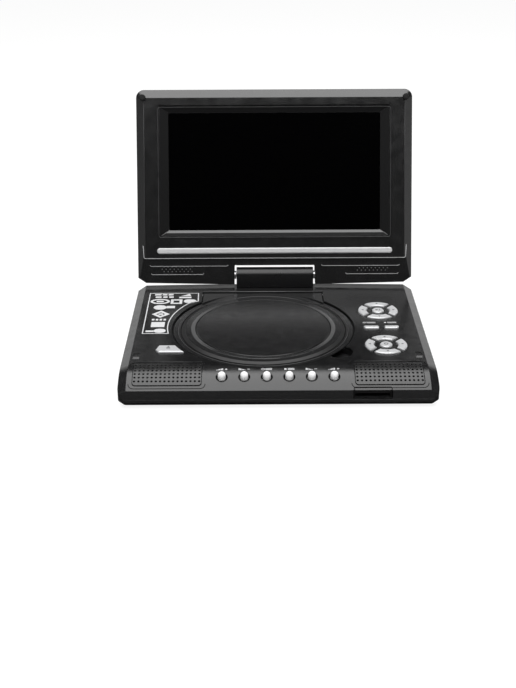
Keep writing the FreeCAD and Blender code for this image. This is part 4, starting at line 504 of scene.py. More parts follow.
def ribbon(bm, path, width, surface, closed=False):
    """A line of constant width along a path."""
    count = len(path)
    left, right = [], []
    for i, (x, y) in enumerate(path):
        before = path[i - 1] if (i > 0 or closed) else path[i]
        after = path[(i + 1) % count] if (i < count - 1 or closed) else path[i]
        a = Vector((x - before[0], y - before[1]))
        b = Vector((after[0] - x, after[1] - y))
        a = a.normalized() if a.length else b.normalized()
        b = b.normalized() if b.length else a
        way = (a + b).normalized()
        reach = width / 2 / max(SHARPEST, way.dot(a))
        left.append((x - way.y * reach, y + way.x * reach))
        right.append((x + way.y * reach, y - way.x * reach))
    for i in range(count if closed else count - 1):
        j = (i + 1) % count
        slab(bm, [left[i], left[j], right[j], right[i]], surface)


def tube(name, path, radius, material, body, slot, caps=True):
    """A thin round bead along a path of points in space."""
    bm = bmesh.new()
    rings = []
    for i, point in enumerate(path):
        ahead = path[min(i + 1, len(path) - 1)] - path[max(i - 1, 0)]
        ahead.normalize()
        side = ahead.cross(Vector((0, 0, 1)))
        if side.length < 0.2:
            side = ahead.cross(Vector((0, 1, 0)))
        side.normalize()
        other = ahead.cross(side)
        turns = [2 * math.pi * k / TUBE_SIDES for k in range(TUBE_SIDES)]
        rings.append([bm.verts.new(point + (side * math.cos(t) + other * math.sin(t)) * radius / 1000)
                      for t in turns])
    for a, b in zip(rings, rings[1:]):
        join_rings(bm, a, b)
    if caps:
        bm.faces.new(rings[0][::-1])
        bm.faces.new(rings[-1])
    for face in bm.faces:
        face.smooth = True
    finish_mesh(name, bm, material, body, slot)


def join_rings(bm, a, b):
    """Faces between two closed rings that have as many points."""
    for k in range(len(a)):
        j = (k + 1) % len(a)
        bm.faces.new((a[k], a[j], b[j], b[k]))


def arc_points(cx, cy, r, start, end, steps=ARC_STEPS):
    turns = [math.radians(start + (end - start) * k / steps) for k in range(steps + 1)]
    return [(cx + r * math.cos(t), cy + r * math.sin(t)) for t in turns]


def pill(x0, x1, y0, y1):
    r = min(x1 - x0, y1 - y0) / 2
    middle = (y0 + y1) / 2
    return arc_points(x1 - r, middle, r, -90, 90) + arc_points(x0 + r, middle, r, 90, 270)


def box_points(x0, x1, y0, y1):
    return [(x0, y0), (x1, y0), (x1, y1), (x0, y1)]


def rounded(x0, x1, y0, y1, r):
    """A rectangle with round corners, from its lower right one on."""
    x0, x1, y0, y1 = x0 + r, x1 - r, y0 + r, y1 - r
    points = []
    for cx, cy, turn in ((x1, y0, 270), (x1, y1, 0), (x0, y1, 90), (x0, y0, 180)):
        points += arc_points(cx, cy, r, turn, turn + 90)
    return points


def oval(x0, x1, y0, y1, steps):
    cx, cy = (x0 + x1) / 2, (y0 + y1) / 2
    turns = [2 * math.pi * k / steps for k in range(steps)]
    return [(cx + (x1 - x0) / 2 * math.cos(t), cy + (y1 - y0) / 2 * math.sin(t)) for t in turns]


# The printed field left of the door

FIELD_CURVE = (-9.9, 93.5, 73.2)    # middle and radius of the curve along the door
FIELD_CURVE_FROM = (-61.9, 140.0)
FIELD_CURVE_TO = (-81.9, 79.35)
FIELD_TOP = [(-101.6, 157.1), (-62.4, 156.9), (-61.9, 140.5)]
FIELD_LOW = [(-81.9, 79.3), (-101.3, 79.3)]
FIELD_STEPS = 24
FIELD_LINE = 0.8
ROW_X = ((-97.6, -92.4), (-91.4, -87.6), (-86.6, -82.6))
ROW_HIGH = (152.6, 155.6)
ROW_DROP = 5.0
WEDGE_MARK = [(-76.6, 151.0), (-68.0, 151.0), (-69.4, 156.0), (-73.4, 152.8)]
DIAMOND_MARK = [(-95.4, 115.2), (-90.1, 120.4), (-84.8, 115.2), (-90.1, 110.0)]
BAR_MARKS = ((-77.6, -67.8, 146.8, 149.6), (-86.6, -79.8, 126.8, 131.2), (-91.8, -88.4, 113.8, 116.6),
             (-96.0, -85.6, 91.0, 100.2), (-99.2, -93.0, 82.0, 84.8))
PILL_MARKS = ((-95.4, -89.4, 138.8, 141.8), (-73.6, -63.4, 137.2, 144.2), (-96.8, -86.4, 124.0, 132.6),
              (-93.2, -83.9, 80.6, 87.8))
OVAL_MARK = (-99.2, -85.6, 136.2, 144.4)
SQUARE_MARK = (-82.8, -75.8, 136.4, 143.2)
DASH_MARKS = (-96.2, -94.2, 103.2, 106.2)
DASH_COUNT = 4
DASH_PITCH = 3.0


def label_frame():
    """The white line round the printed field."""
    bm = bmesh.new()
    cx, cy, r = FIELD_CURVE
    start, end = (math.degrees(math.atan2(y - cy, x - cx)) % 360
                  for x, y in (FIELD_CURVE_FROM, FIELD_CURVE_TO))
    curve = arc_points(cx, cy, r, start + 6, end - 2, FIELD_STEPS)
    ribbon(bm, FIELD_TOP + curve + FIELD_LOW, FIELD_LINE, on_deck, closed=True)
    finish_mesh("label_frame", bm, INK, "base", "key_silver")


def label_marks():
    """Generic pictograms: discs, frames, pills and bars."""
    bm = bmesh.new()
    for k in range(2):
        low, high = (y - k * ROW_DROP for y in ROW_HIGH)
        for x0, x1 in ROW_X:
            slab(bm, box_points(x0 + 0.8 * k, x1 + 0.4 * k, low, high), on_deck)
    for mark in BAR_MARKS:
        slab(bm, box_points(*mark), on_deck)
    for mark in PILL_MARKS:
        slab(bm, pill(*mark), on_deck)
    slab(bm, WEDGE_MARK, on_deck)
    ribbon(bm, oval(*OVAL_MARK, 20), 2.0, on_deck, closed=True)
    ribbon(bm, box_points(*SQUARE_MARK), 2.2, on_deck, closed=True)
    ribbon(bm, DIAMOND_MARK, 2.4, on_deck, closed=True)
    x0, x1, y0, y1 = DASH_MARKS
    for k in range(DASH_COUNT):
        slab(bm, box_points(x0 + k * DASH_PITCH, x1 + k * DASH_PITCH, y0, y1), on_deck)
    finish_mesh("label_marks", bm, INK, "base", "key_silver")


# Signs on and beside the keys

QUARTER = 0.25
THIRD = 1 / 3
SIGNS = {   # outlines of the signs about their middle, for a size of 1
    "plus": [box_points(-1, 1, -QUARTER, QUARTER), box_points(-QUARTER, QUARTER, THIRD, 1),
             box_points(-QUARTER, QUARTER, -1, -THIRD)],
    "minus": [box_points(-1, 1, -QUARTER, QUARTER)],
    "square": [box_points(-0.8, 0.8, -0.8, 0.8)],
    "right": [[(-0.8, -1), (1, 0), (-0.8, 1)]],
    "left": [[(0.8, 1), (-1, 0), (0.8, -1)]],
    "up": [[(-1, -0.8), (1, -0.8), (0, 1)]],
    "down": [[(1, 0.8), (-1, 0.8), (0, -1)]],
}
ROUND_SIGNS = ("plus", "minus", "ring", "square", "minus", "plus")
ROUND_SIGN_ALONG = 6.3      # how far down the roll the row of signs lies
SMALL_SIGN = 0.95
WEDGE_BARS = 5
MENU_SIGNS = (("ring", 71.5), ("square", 87.5))
MENU_SIGN_Y = 97.4
PAD_SIGNS = {"back": ("up", 0, PAD_REACH), "front": ("down", 0, -PAD_REACH),
             "left": ("left", -PAD_REACH, 0), "right": ("right", PAD_REACH, 0)}


def sign(bm, kind, cx, cy, size, surface):
    """A generic control sign centred at a point."""
    if kind == "ring":
        outline = oval(cx - size, cx + size, cy - size, cy + size, 14)
        ribbon(bm, outline, size / 2.2, surface, closed=True)
        return
    for outline in SIGNS[kind]:
        slab(bm, [(cx + size * x, cy + size * y) for x, y in outline], surface)


def wedge(bm, cx, half, height, falling, surface):
    """A level wedge made of bars, as stands for loudness."""
    pitch = 2 * half / WEDGE_BARS
    for k in range(WEDGE_BARS):
        share = (WEDGE_BARS - k if falling else k + 1) / WEDGE_BARS
        x0 = cx - half + k * pitch
        slab(bm, box_points(x0, x0 + pitch * 0.7, -height / 2, height * (share - 0.5)), surface)


def two_bars(bm, x0, x1, y, outer, surface):
    """Two thin lines, as stand for a list."""
    inner = 0.35
    slab(bm, box_points(x0, x1, y + inner, y + outer), surface)
    slab(bm, box_points(x0, x1, y - outer, y - inner), surface)


def round_key_x(index):
    return ROUND_MIDDLE_X + (index - (ROUND_COUNT - 1) / 2) * ROUND_PITCH


def round_key_signs():
    """The row of small marks above the six round keys."""
    bm = bmesh.new()

    def surface(x, y, h):
        return on_roll(x, ROUND_SIGN_ALONG - y, h)

    for i, kind in enumerate(ROUND_SIGNS):
        x = round_key_x(i)
        if kind in ("plus", "minus"):
            wedge(bm, x - 1.4, 2.6, 2.2, kind == "minus", surface)
            sign(bm, kind, x + 3.0, 0.0, SMALL_SIGN, surface)
        else:
            sign(bm, kind, x - 2.6, 0.0, 1.0, surface)
            two_bars(bm, x - 0.9, x + 3.8, 0.0, 1.0, surface)
    finish_mesh("round_key_signs", bm, INK, "base", "key_silver")


def menu_signs():
    """Marks above the two flat keys."""
    bm = bmesh.new()
    for kind, x in MENU_SIGNS:
        sign(bm, kind, x - 4.0, MENU_SIGN_Y, SMALL_SIGN, on_deck)
        two_bars(bm, x - 2.2, x + 4.6, MENU_SIGN_Y, 0.95, on_deck)
    finish_mesh("menu_signs", bm, INK, "base", "key_silver")


def pad_signs():
    """A small mark on every pad key."""
    for pad, cy in PAD_Y.items():
        for side, (kind, dx, dy) in PAD_SIGNS.items():
            name = pad + "_" + side + "_key"
            bm = bmesh.new()
            sign(bm, kind, PAD_X + dx, cy + dy, 1.0, on_key)
            finish_mesh(name + "_sign", bm, GREY_INK, name, "key_silver")
        name = pad + "_centre_key"
        bm = bmesh.new()
        if pad == "upper_pad":
            sign(bm, "right", PAD_X - 0.95, cy, 1.2, on_key)
            slab(bm, box_points(PAD_X + 1.05, PAD_X + 1.65, cy - 1.2, cy + 1.2), on_key)
        else:
            sign(bm, "ring", PAD_X, cy, 1.3, on_key)
        finish_mesh(name + "_sign", bm, GREY_INK, name, "key_silver")


def open_sign():
    """A wedge over a bar, the usual mark for a key that lets the disc out."""
    bm = bmesh.new()
    sign(bm, "up", -79.8, 53.2, 1.4, on_key)
    slab(bm, box_points(-81.2, -78.4, 50.6, 51.3), on_key)
    finish_mesh("open_key_sign", bm, GREY_INK, "open_button", "key_silver")


# The screen half

# Painted highlights: the light beads along the step and beside the grooves of the screen half
STEP_BEAD = [(108.0, 30.6), (107.5, 22.5)]  # right half of the step's outline, from its end inwards
STEP_BEAD_CORNER = (106.0, 21.5, 1.5)
STEP_BEAD_R = 0.28
STEP_BEAD_SINK = 0.1
GROOVES = (("upper", 14.2, 38.3, 102.7), ("lower", 7.4, 58.3, 101.7))    # height, inner and outer end
GROOVE_BEAD_BELOW = 0.62
GROOVE_BEAD_RISE = 0.9
WINDOW_HALF = 94.9
WINDOW_LOW = 37.2
WINDOW_HIGH = 142.7
WINDOW_CORNER_R = 2.0
# the line of painted shade above the screen's recess
TOP_LINE_HALF = 94.0
TOP_LINE_UP = 144.0
TOP_LINE_WIDTH = 0.45
SLOPE_OUT = (93.4, 38.3, 143.2)     # half width, low and high edge where the recess's slope starts
SLOPE_IN = (86.6, 42.9, 138.3)      # and where it ends
SLOPE_COVER = 0.55                  # share of the lowest slope that its skin covers
SKIN_HEIGHTS = (0.02, 0.06)
# The painted highlight beads between the frame's front face and its side bevels
BEVEL_BEAD_X = 106.3
BEVEL_BEAD_UP = (31.0, 90.0, 146.5)
BEVEL_BEAD_R = 0.16
NOTCH_LIP_HALF = 31.9
NOTCH_LIP_UP = (14.1, 14.65)
NOTCH_LIP_DEPTH = (1.0, 2.5)
DOT_ROWS = 3
DOT_COLUMNS = 8
DOT_START = (68.0, 9.3)
DOT_PITCH = (3.3, 1.9)
DOT_SHIFT = 1.6
DOT_RIGHT_RISE = 0.5
DOT_SIDES = 10
# Radius, share of it and height of a dot's foot, crest and hole
DOT_RINGS = ((0.5, 1.0, 0.02), (0.5, 0.8, 0.14), (0.28, 1.0, 0.03))


def lid_tube(name, path, radius, material, caps=True):
    tube(name, path, radius, material, "screen", "screen_frame_dark", caps)


def finish_lid_piece(name, bm, material):
    finish_mesh(name, bm, material, "screen", "screen_frame_dark")


def lid_beads():
    """Painted highlights: a fine light bead along the step of the screen half, and one beside each
    groove.
    """
    right = STEP_BEAD + arc_points(*STEP_BEAD_CORNER, 0, -90, 4)
    left = [(-x, up) for x, up in reversed(right)]
    path = [on_lid(x, up, -STEP_BEAD_SINK) for x, up in right + left]
    lid_tube("step_bead", path, STEP_BEAD_R, BRIGHT_PAINTED_HIGHLIGHT)
    for row, up, inner, outer in GROOVES:
        low = up - GROOVE_BEAD_BELOW
        high = low + GROOVE_BEAD_RISE
        for side, sx in SIDES:
            points = [(inner, high), (inner + 1.0, low), (outer - 1.0, low), (outer, high)]
            path = [on_panel(sx * x, up, 0.05) for x, up in points]
            lid_tube(row + "_groove_bead_" + side, path, FINE_BEAD_R, BRIGHT_PAINTED_HIGHLIGHT)


def window_bead():
    """A painted highlight: a fine light bead round the recess of the screen; and a line of painted
    shade over it.
    """
    points = rounded(-WINDOW_HALF, WINDOW_HALF, WINDOW_LOW, WINDOW_HIGH, WINDOW_CORNER_R)
    path = [on_lid(x, up, -WINDOW_STEP if up > WINDOW_HIGH - 0.5 else 0.0)
            for x, up in points + points[:1]]
    lid_tube("window_bead", path, FINE_BEAD_R, FAINT_PAINTED_HIGHLIGHT, caps=False)
    bm = bmesh.new()
    ribbon(bm, [(-TOP_LINE_HALF, TOP_LINE_UP), (TOP_LINE_HALF, TOP_LINE_UP)], TOP_LINE_WIDTH, on_lid)
    finish_lid_piece("window_top_line", bm, PAINTED_SHADE)


def slope_corner(sx, top, share):
    """A point at a share of the way down the slope of the screen's recess."""
    half, low, high = (a + (b - a) * share for a, b in zip(SLOPE_OUT, SLOPE_IN))
    return sx * half, high if top else low, -WINDOW_STEP - (SCREEN_DEPTH - WINDOW_STEP) * share


def window_skins():
    """Matt dark skins on the slopes of the recess; the lowest leaves the slope's inner edge bare."""
    skins = [[slope_corner(-1, True, 0), slope_corner(1, True, 0),
              slope_corner(1, True, 1), slope_corner(-1, True, 1)],
             [slope_corner(-1, False, 0), slope_corner(1, False, 0),
              slope_corner(1, False, SLOPE_COVER), slope_corner(-1, False, SLOPE_COVER)]]
    for sx in (-1, 1):
        skins.append([slope_corner(sx, False, 0), slope_corner(sx, True, 0),
                      slope_corner(sx, True, 1), slope_corner(sx, False, 1)])
    bm = bmesh.new()
    for corners in skins:
        plate(bm, *([on_lid(x, up, h + rise) for x, up, h in corners] for rise in SKIN_HEIGHTS))
    finish_lid_piece("window_skins", bm, MATT_DARK_AND_PAINTED_SHADOW)


def bevel_beads():
    """A painted highlight: a fine light bead between the frame's front face and its side bevels."""
    for side, sx in SIDES:
        path = [on_lid(sx * BEVEL_BEAD_X, up) for up in BEVEL_BEAD_UP]
        lid_tube("bevel_bead_" + side, path, BEVEL_BEAD_R, FAINT_PAINTED_HIGHLIGHT)


def notch_lip():
    """A thin dark strip under the top edge of the notch for the swivel."""
    near, far = NOTCH_LIP_DEPTH
    corners = box_points(-NOTCH_LIP_HALF, NOTCH_LIP_HALF, *NOTCH_LIP_UP)
    bm = bmesh.new()
    plate(bm, [on_lid(x, up, -far) for x, up in corners], [on_lid(x, up, -near) for x, up in corners])
    finish_lid_piece("notch_lip", bm, LOOKS["screen_frame_dark"])


def dot_ring(bm, cx, cy, r, share, h):
    """A ring at a share of the radius r, h above the depth that the panel has at r."""
    return [bm.verts.new(on_lid(cx + (x - cx) * share, cy + (up - cy) * share, h - panel_depth(up)))
            for x, up in oval(cx - r, cx + r, cy - r, cy + r, DOT_SIDES)]


def lid_dots():
    """Rows of small blind holes with a raised rim at both ends of the lower panel."""
    for side, sx in SIDES:
        bm = bmesh.new()
        for row in range(DOT_ROWS):
            for column in range(DOT_COLUMNS):
                cx = sx * (DOT_START[0] + column * DOT_PITCH[0] + (row % 2) * DOT_SHIFT)
                cy = DOT_START[1] + row * DOT_PITCH[1] + (DOT_RIGHT_RISE if sx > 0 else 0.0)
                foot, crest, hole = (dot_ring(bm, cx, cy, *ring) for ring in DOT_RINGS)
                join_rings(bm, foot, crest)
                join_rings(bm, crest, hole)
                bm.faces.new(hole)
        finish_lid_piece("lid_dots_" + side, bm, DOT_AND_HIGHLIGHT_GREY)


# The deck and the door

# where the swivel's painted shadow lies along Y
SWIVEL_SHADOW_Y = (161.6, 167.5)
# radius of the painted highlight bead behind the door's hinge
HINGE_BEAD_R = 0.32
RIM_BEAD_R = 0.24
RIM_BEAD_LIFT = 0.02
TAIL_LINE_INSET = 0.65          # the two lines of painted shade along the door's tail
TAIL_LINE_WIDTH = 0.55
HINGE_LINE_INSET = 0.9          # the line of painted shade along the door's hinge
HINGE_LINE_FRONT = 3.2
HINGE_LINE_WIDTH = 0.7
GRILLE_LINE_WIDTH = 0.45
CARD_LINE_WIDTH = 0.5
GAP_LINE = (69.03, 0.6)         # inner radius and width of the lines of painted shade, and of the shoulder's skin, about the door's middle
RIM_LINE = (62.3, 0.6)
SHOULDER_BAND = (59.25, 2.9)
GROOVE_LINE = (50.95, 0.62)
GAP_LINE_LESS = 0.3             # how much narrower the gap's line is in front
# radius of the painted highlight bead on the door's rim
RIM_EDGE_R = 64.5
RIM_TURNS = (140, 400)          # where the rim and the shoulder are lowered, in degrees
SHOULDER_TURNS = (118, 422)
BLEND_TURN = 46.0
BLEND_R = (59.3, 67.05)
BLEND_ROWS = 8
BLEND_COLUMNS = 60
BLEND_FADE = 1.8
# section of the ring of painted shade in each round key's recess
RECESS_SHADE_SECTION = [(3.14, -0.68), (4.17, -0.68), (4.17, -0.27), (4.1, -0.27), (4.1, -0.62), (3.14, -0.62)]
RECESS_SHADE_STEPS = 32
# The outline of painted shade round each grille, and its painted highlight bead
GRILLE_LINE_HALF = 26.9
GRILLE_LINE_ALONG = (-3.6, 24.1)
GRILLE_LINE_R = 3.6
GRILLE_EDGE_ALONG = -4.6
CARD_LIP = [(52.6, 26.4), (52.6, 24.1), (53.4, 23.55), (78.3, 23.55), (79.1, 24.1), (79.1, 26.4)]


def swivel_painted_shadow():
    """A painted shadow: a dark strip on the deck in front of the swivel block."""
    bm = bmesh.new()
    slab(bm, box_points(-BLOCK_HALF, BLOCK_HALF, *SWIVEL_SHADOW_Y), on_deck)
    finish_mesh("swivel_painted_shadow", bm, MATT_DARK_AND_PAINTED_SHADOW, "base", "case_dark")


def hinge_bead():
    """A painted highlight: a light bead along the deck's edge behind the door's hinge."""
    path = [on_deck(x, TAIL_Y + 0.1, 0.05) for x in (WELL_X - TAIL_HALF, WELL_X, WELL_X + TAIL_HALF)]
    tube("door_hinge_bead", path, HINGE_BEAD_R, DOT_AND_HIGHLIGHT_GREY, "base", "case_dark")


def around(r, turn):
    """A place on the deck, from its distance and angle about the door's middle."""
    return WELL_X + r * math.cos(math.radians(turn)), WELL_Y + r * math.sin(math.radians(turn))


def arc_band(name, start, end, steps, inner, width, surface, material, owner, less=0.0):
    """A flat band along an arc about the door's middle, narrower by less at the front."""

    def outer(turn):
        return inner + width - less * max(0.0, -math.sin(math.radians(turn)))

    bm = bmesh.new()
    for k in range(steps):
        a, b = (start + (end - start) * (k + share) / steps for share in (0, 1))
        corners = [around(inner, a), around(inner, b), around(outer(b), b), around(outer(a), a)]
        slab(bm, corners, surface)
    finish_mesh(name, bm, material, *owner)


def door_gaps():
    """Painted shade: dark lines in the gap, on the hinge, the rim and the groove. A painted highlight:
    a light bead on the rim's edge.
    """
    base, door = ("base", "case_dark"), ("door", "door_dark")
    side = math.degrees(math.acos((TAIL_HALF + 0.4) / (OPENING_R + 0.3)))   # where the tail starts
    arc_band("door_gap_line", 180 - side, 360 + side, 120, *GAP_LINE, on_deck, PAINTED_SHADE, base, GAP_LINE_LESS)
    top = around(OPENING_R, side)[1]
    bm = bmesh.new()
    for sx in (-1, 1):
        x = WELL_X + sx * (TAIL_HALF - TAIL_LINE_INSET)
        ribbon(bm, [(x, top - 0.5), (x, TAIL_Y - 2.6)], TAIL_LINE_WIDTH, on_deck)
    finish_mesh("door_tail_lines", bm, PAINTED_SHADE, *door)
    bm = bmesh.new()
    reach, y = TAIL_HALF - HINGE_LINE_INSET, TAIL_Y - HINGE_LINE_FRONT
    ribbon(bm, [(WELL_X - reach, y), (WELL_X + reach, y)], HINGE_LINE_WIDTH, on_deck)
    finish_mesh("door_hinge_line", bm, PAINTED_SHADE, *door)
    rim = arc_points(WELL_X, WELL_Y, RIM_EDGE_R, *RIM_TURNS, 120)
    tube("door_rim_edge", [on_rim(x, y, RIM_BEAD_LIFT) for x, y in rim], RIM_BEAD_R, FAINT_PAINTED_HIGHLIGHT, *door)
    arc_band("door_rim_line", *RIM_TURNS, 120, *RIM_LINE, on_rim, PAINTED_SHADE, door)
    arc_band("door_shoulder_skin", *SHOULDER_TURNS, 140, *SHOULDER_BAND, on_shoulder,
             SHOULDER_DARK, door)
    arc_band("door_groove_line", 0, 360, 120, *GROOVE_LINE, on_plate, PAINTED_SHADE, door)


def blend_heights(r, turn):
    """Top and underside of the tail blend, which falls from the plate to the rim at both ends."""
    fade = min(1.0, (1 - abs(turn - 90) / BLEND_TURN) * BLEND_FADE)
    fade = fade * fade * (3 - 2 * fade)
    drop = RIM_DROP * min(1.0, max(0.0, (r - SHOULDER_R) / SHOULDER_WIDTH))
    return 0.02 - drop * (1 - fade), -0.04 - drop


def door_tail_blend():
    """Closes the lowered rim of the door towards its hinge, where the plate runs on into the tail."""
    bm = bmesh.new()
    inner, outer = BLEND_R
    top, low = [], []
    for j in range(BLEND_COLUMNS + 1):
        turn = 90 - BLEND_TURN + 2 * BLEND_TURN * j / BLEND_COLUMNS
        radii = [inner + (outer - inner) * i / BLEND_ROWS for i in range(BLEND_ROWS + 1)]
        top.append([bm.verts.new(on_deck(*around(r, turn), blend_heights(r, turn)[0])) for r in radii])
        low.append([bm.verts.new(on_deck(*around(r, turn), blend_heights(r, turn)[1])) for r in radii])
    for j in range(BLEND_COLUMNS):
        for i in range(BLEND_ROWS):
            bm.faces.new((top[j][i], top[j][i + 1], top[j + 1][i + 1], top[j + 1][i])).smooth = True
            bm.faces.new((low[j][i], low[j + 1][i], low[j + 1][i + 1], low[j][i + 1]))
        for i in (0, BLEND_ROWS):
            bm.faces.new((top[j][i], top[j + 1][i], low[j + 1][i], low[j][i]))
    for i in range(BLEND_ROWS):
        for j in (0, BLEND_COLUMNS):
            bm.faces.new((top[j][i], low[j][i], low[j][i + 1], top[j][i + 1]))
    finish_mesh("door_tail_blend", bm, TAIL_DARK, "door", "door_dark")


def round_key_recess_shade():
    """Painted shade: a black ring at the foot of each round key, down in its recess."""
    a = ROUND_ARC / ROLL_R
    bm = bmesh.new()
    for i in range(ROUND_COUNT):
        rings = []
        for k in range(RECESS_SHADE_STEPS):
            t = 2 * math.pi * k / RECESS_SHADE_STEPS
            ring = []
            for r, out in RECESS_SHADE_SECTION:
                along, rise = r * math.sin(t), ROLL_R + out
                ring.append(bm.verts.new(place(
                    round_key_x(i) + r * math.cos(t),
                    ROLL_Y - rise * math.sin(a) + along * math.cos(a),
                    DECK_Z - ROLL_R + rise * math.cos(a) + along * math.sin(a))))
            rings.append(ring)
        for k in range(RECESS_SHADE_STEPS):
            join_rings(bm, rings[k], rings[(k + 1) % RECESS_SHADE_STEPS])
    finish_mesh("round_key_recess_shade", bm, PAINTED_SHADE, "base", "case_dark")


def grille_frames():
    """Painted shade: a fine dark outline round each speaker grille, and a dark line over the card
    slot's lip. A painted highlight: a light bead along each grille's back edge.
    """
    for side, sx in SIDES:
        middle = sx * GRILLE_X
        x0, x1 = middle - GRILLE_LINE_HALF, middle + GRILLE_LINE_HALF
        bm = bmesh.new()
        outline = rounded(x0, x1, *GRILLE_LINE_ALONG, GRILLE_LINE_R)
        ribbon(bm, outline, GRILLE_LINE_WIDTH, on_front, closed=True)
        finish_mesh("grille_outline_" + side, bm, PAINTED_SHADE, "base", "case_dark")
        bead = [on_front(x, GRILLE_EDGE_ALONG, 0.03) for x in (x0 + 3.0, middle, x1 - 3.0)]
        tube("grille_edge_" + side, bead, FINE_BEAD_R, FAINT_PAINTED_HIGHLIGHT, "base", "case_dark")
    bm = bmesh.new()
    ribbon(bm, CARD_LIP, CARD_LINE_WIDTH, on_roll)
    finish_mesh("card_lip_line", bm, PAINTED_SHADE, "base", "case_dark")


label_frame()
label_marks()
round_key_signs()
menu_signs()
pad_signs()
open_sign()
lid_beads()
window_bead()
window_skins()
bevel_beads()
swivel_painted_shadow()
hinge_bead()
door_gaps()
door_tail_blend()
round_key_recess_shade()
grille_frames()
notch_lip()
lid_dots()


# Stage, light and camera

FLOOR_SIZE = 9.0
FLOOR_CELLS = 12
FLOOR_SINK = 0.0001
FLOOR_GLOW = 0.88               # what the camera sees of the floor
FLOOR_SHADED = 0.2
FLOOR_PALE = 0.75               # the floor for light that bounces
FLOOR_NEAR = (0.19, 0.05)       # distance and paleness in reflections, near the object and far from it: a painted shade round the object
FLOOR_FAR = (0.45, 0.55)
ROOM_GLOW = 0.06                # what reflections see of the room
ROOM_FILL = 0.3                 # the room for light that bounces
WALL_BACK = (0.3, 0.6)          # the white wall behind: where it starts and is full, along Y
WALL_TOP = (0.32, 0.39)         # and where it ends, along Z
FLANK_SIDE = (0.4, 0.6)         # the pale sides in front: where they start and are full, along X
FLANK_FRONT = (-0.3, -0.5)      # and along Y
FLANK_TOP = (0.35, 0.5)         # and where they end, along Z
FLANK_GLOW = (0.24, 0.5)        # their strength at the left and at the right
LAMP_Y = -0.175
LAMP_Z = 1.05
LAMP_SIZE = (1.3, 1.75)
LAMP_POWER = 22.0
CAMERA_PLACE = (-0.01427, -0.69071, 0.37932)    # Y from the front edge
CAMERA_PITCH = math.radians(25.48)
CAMERA_YAW = math.radians(0.01)
CAMERA_ROLL = math.radians(-0.28)
CAMERA_LENS = 58.95
WHITE = (1, 1, 1, 1)


def diffuse(tree, value):
    return tree.add("BsdfDiffuse", Color=(value, value, value, 1)).outputs[0]


def floor_material():
    """Keeps the object's shadow; reflections see a painted shade on it, darker close to the object."""
    mat = bpy.data.materials.new("floor_white")
    tree = Tree(mat)
    tree.nodes.remove(tree.nodes["Principled BSDF"])
    shown = tree.add("AddShader")
    tree.link(diffuse(tree, FLOOR_SHADED), shown.inputs[0])
    tree.link(tree.add("Emission", Color=WHITE, Strength=FLOOR_GLOW).outputs[0], shown.inputs[1])
    distance = tree.vector("LENGTH", tree.add("NewGeometry").outputs["Position"])
    far = tree.spread(distance, FLOOR_NEAR[0], FLOOR_FAR[0], smooth=True)
    reflected = tree.mix_shaders(far, diffuse(tree, FLOOR_NEAR[1]), diffuse(tree, FLOOR_FAR[1]))
    unseen = tree.mix_shaders(tree.ray("Is Glossy Ray"), diffuse(tree, FLOOR_PALE), reflected)
    final = tree.mix_shaders(tree.ray("Is Camera Ray"), unseen, shown.outputs[0])
    tree.link(final, tree.nodes["Material Output"].inputs["Surface"])
    return mat


def add_floor():
    """A wide level floor, mostly behind the object."""
    bm = bmesh.new()
    steps = range(FLOOR_CELLS + 1)
    grid = [[bm.verts.new(((i / FLOOR_CELLS - 0.5) * FLOOR_SIZE, (j / FLOOR_CELLS - 0.35) * FLOOR_SIZE,
                           -FLOOR_SINK)) for i in steps] for j in steps]
    for j in range(FLOOR_CELLS):
        for i in range(FLOOR_CELLS):
            bm.faces.new((grid[j][i], grid[j][i + 1], grid[j + 1][i + 1], grid[j + 1][i]))
    mesh = bpy.data.meshes.new("floor")
    bm.to_mesh(mesh)
    bm.free()
    floor = bpy.data.objects.new("floor", mesh)
    bpy.context.collection.objects.link(floor)
    mesh.materials.append(floor_material())


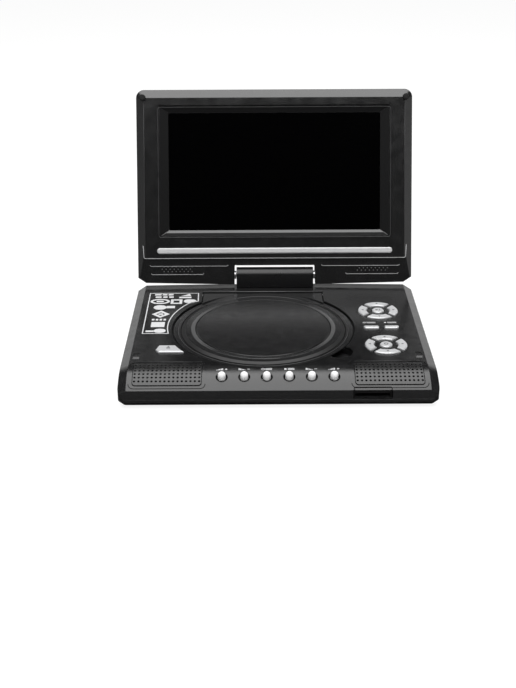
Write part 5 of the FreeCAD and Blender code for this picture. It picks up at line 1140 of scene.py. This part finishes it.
def set_world():
    """White to the eye. Reflections see a low white wall behind, pale sides and a dim room."""
    world = bpy.data.worlds.new("studio")
    bpy.context.scene.world = world
    tree = Tree(world)
    tree.nodes.remove(tree.nodes["Background"])
    parts = tree.add("SeparateXYZ")
    tree.link(tree.add("TexCoord").outputs["Generated"], parts.inputs[0])
    x, y, z = parts.outputs

    def edge(source, limits, out_low=0.0, out_high=1.0):
        return tree.spread(source, *limits, out_low, out_high, smooth=True)

    def product(first, *others):
        for other in others:
            first = tree.math("MULTIPLY", first, other)
        return first

    wall = product(edge(y, WALL_BACK), edge(z, WALL_TOP, 1.0, 0.0))
    flank = product(edge(x, (-0.5, 0.5), *FLANK_GLOW), edge(tree.math("ABSOLUTE", x), FLANK_SIDE),
                    edge(y, FLANK_FRONT), edge(z, FLANK_TOP, 1.0, 0.0))
    glow = tree.math("ADD", tree.math("ADD", wall, flank), ROOM_GLOW)
    room = tree.add("Background", Color=WHITE, Strength=1.0)
    tree.link(glow, room.inputs["Strength"])
    fill = tree.add("Background", Color=WHITE, Strength=ROOM_FILL)
    shown = tree.add("Background", Color=WHITE, Strength=1.0)
    unseen = tree.mix_shaders(tree.ray("Is Glossy Ray"), fill.outputs[0], room.outputs[0])
    final = tree.mix_shaders(tree.ray("Is Camera Ray"), unseen, shown.outputs[0])
    tree.link(final, tree.nodes["World Output"].inputs["Surface"])


def add_softbox():
    """One wide soft lamp that looks straight down, its middle a little in front of the object."""
    data = bpy.data.lights.new("overhead", "AREA")
    data.shape = "RECTANGLE"
    data.size, data.size_y = LAMP_SIZE
    data.energy = LAMP_POWER
    lamp = bpy.data.objects.new("overhead", data)
    bpy.context.collection.objects.link(lamp)
    lamp.location = (0.0, LAMP_Y, LAMP_Z)
    lamp.rotation_euler = Vector((0.0, 0.0, -LAMP_Z)).to_track_quat("-Z", "Y").to_euler()


def set_camera():
    """The viewpoint that the photograph was taken from."""
    ahead = Vector((math.sin(CAMERA_YAW) * math.cos(CAMERA_PITCH),
                    math.cos(CAMERA_YAW) * math.cos(CAMERA_PITCH), -math.sin(CAMERA_PITCH)))
    level = Vector((math.cos(CAMERA_YAW), -math.sin(CAMERA_YAW), 0))
    above = level.cross(ahead)
    right = level * math.cos(CAMERA_ROLL) + above * math.sin(CAMERA_ROLL)
    up = above * math.cos(CAMERA_ROLL) - level * math.sin(CAMERA_ROLL)
    turn = Matrix((right, up, -ahead)).transposed().to_4x4()
    data = bpy.data.cameras.new("view")
    data.sensor_fit = "VERTICAL"
    data.sensor_height = 36.0
    data.lens = CAMERA_LENS
    data.clip_start = 0.01
    camera = bpy.data.objects.new("view", data)
    bpy.context.collection.objects.link(camera)
    x, y, z = CAMERA_PLACE
    camera.matrix_world = Matrix.Translation((x, y + FRONT_Y, z)) @ turn
    bpy.context.scene.camera = camera


add_floor()
set_world()
add_softbox()
set_camera()
bpy.context.scene.view_settings.view_transform = "Standard"
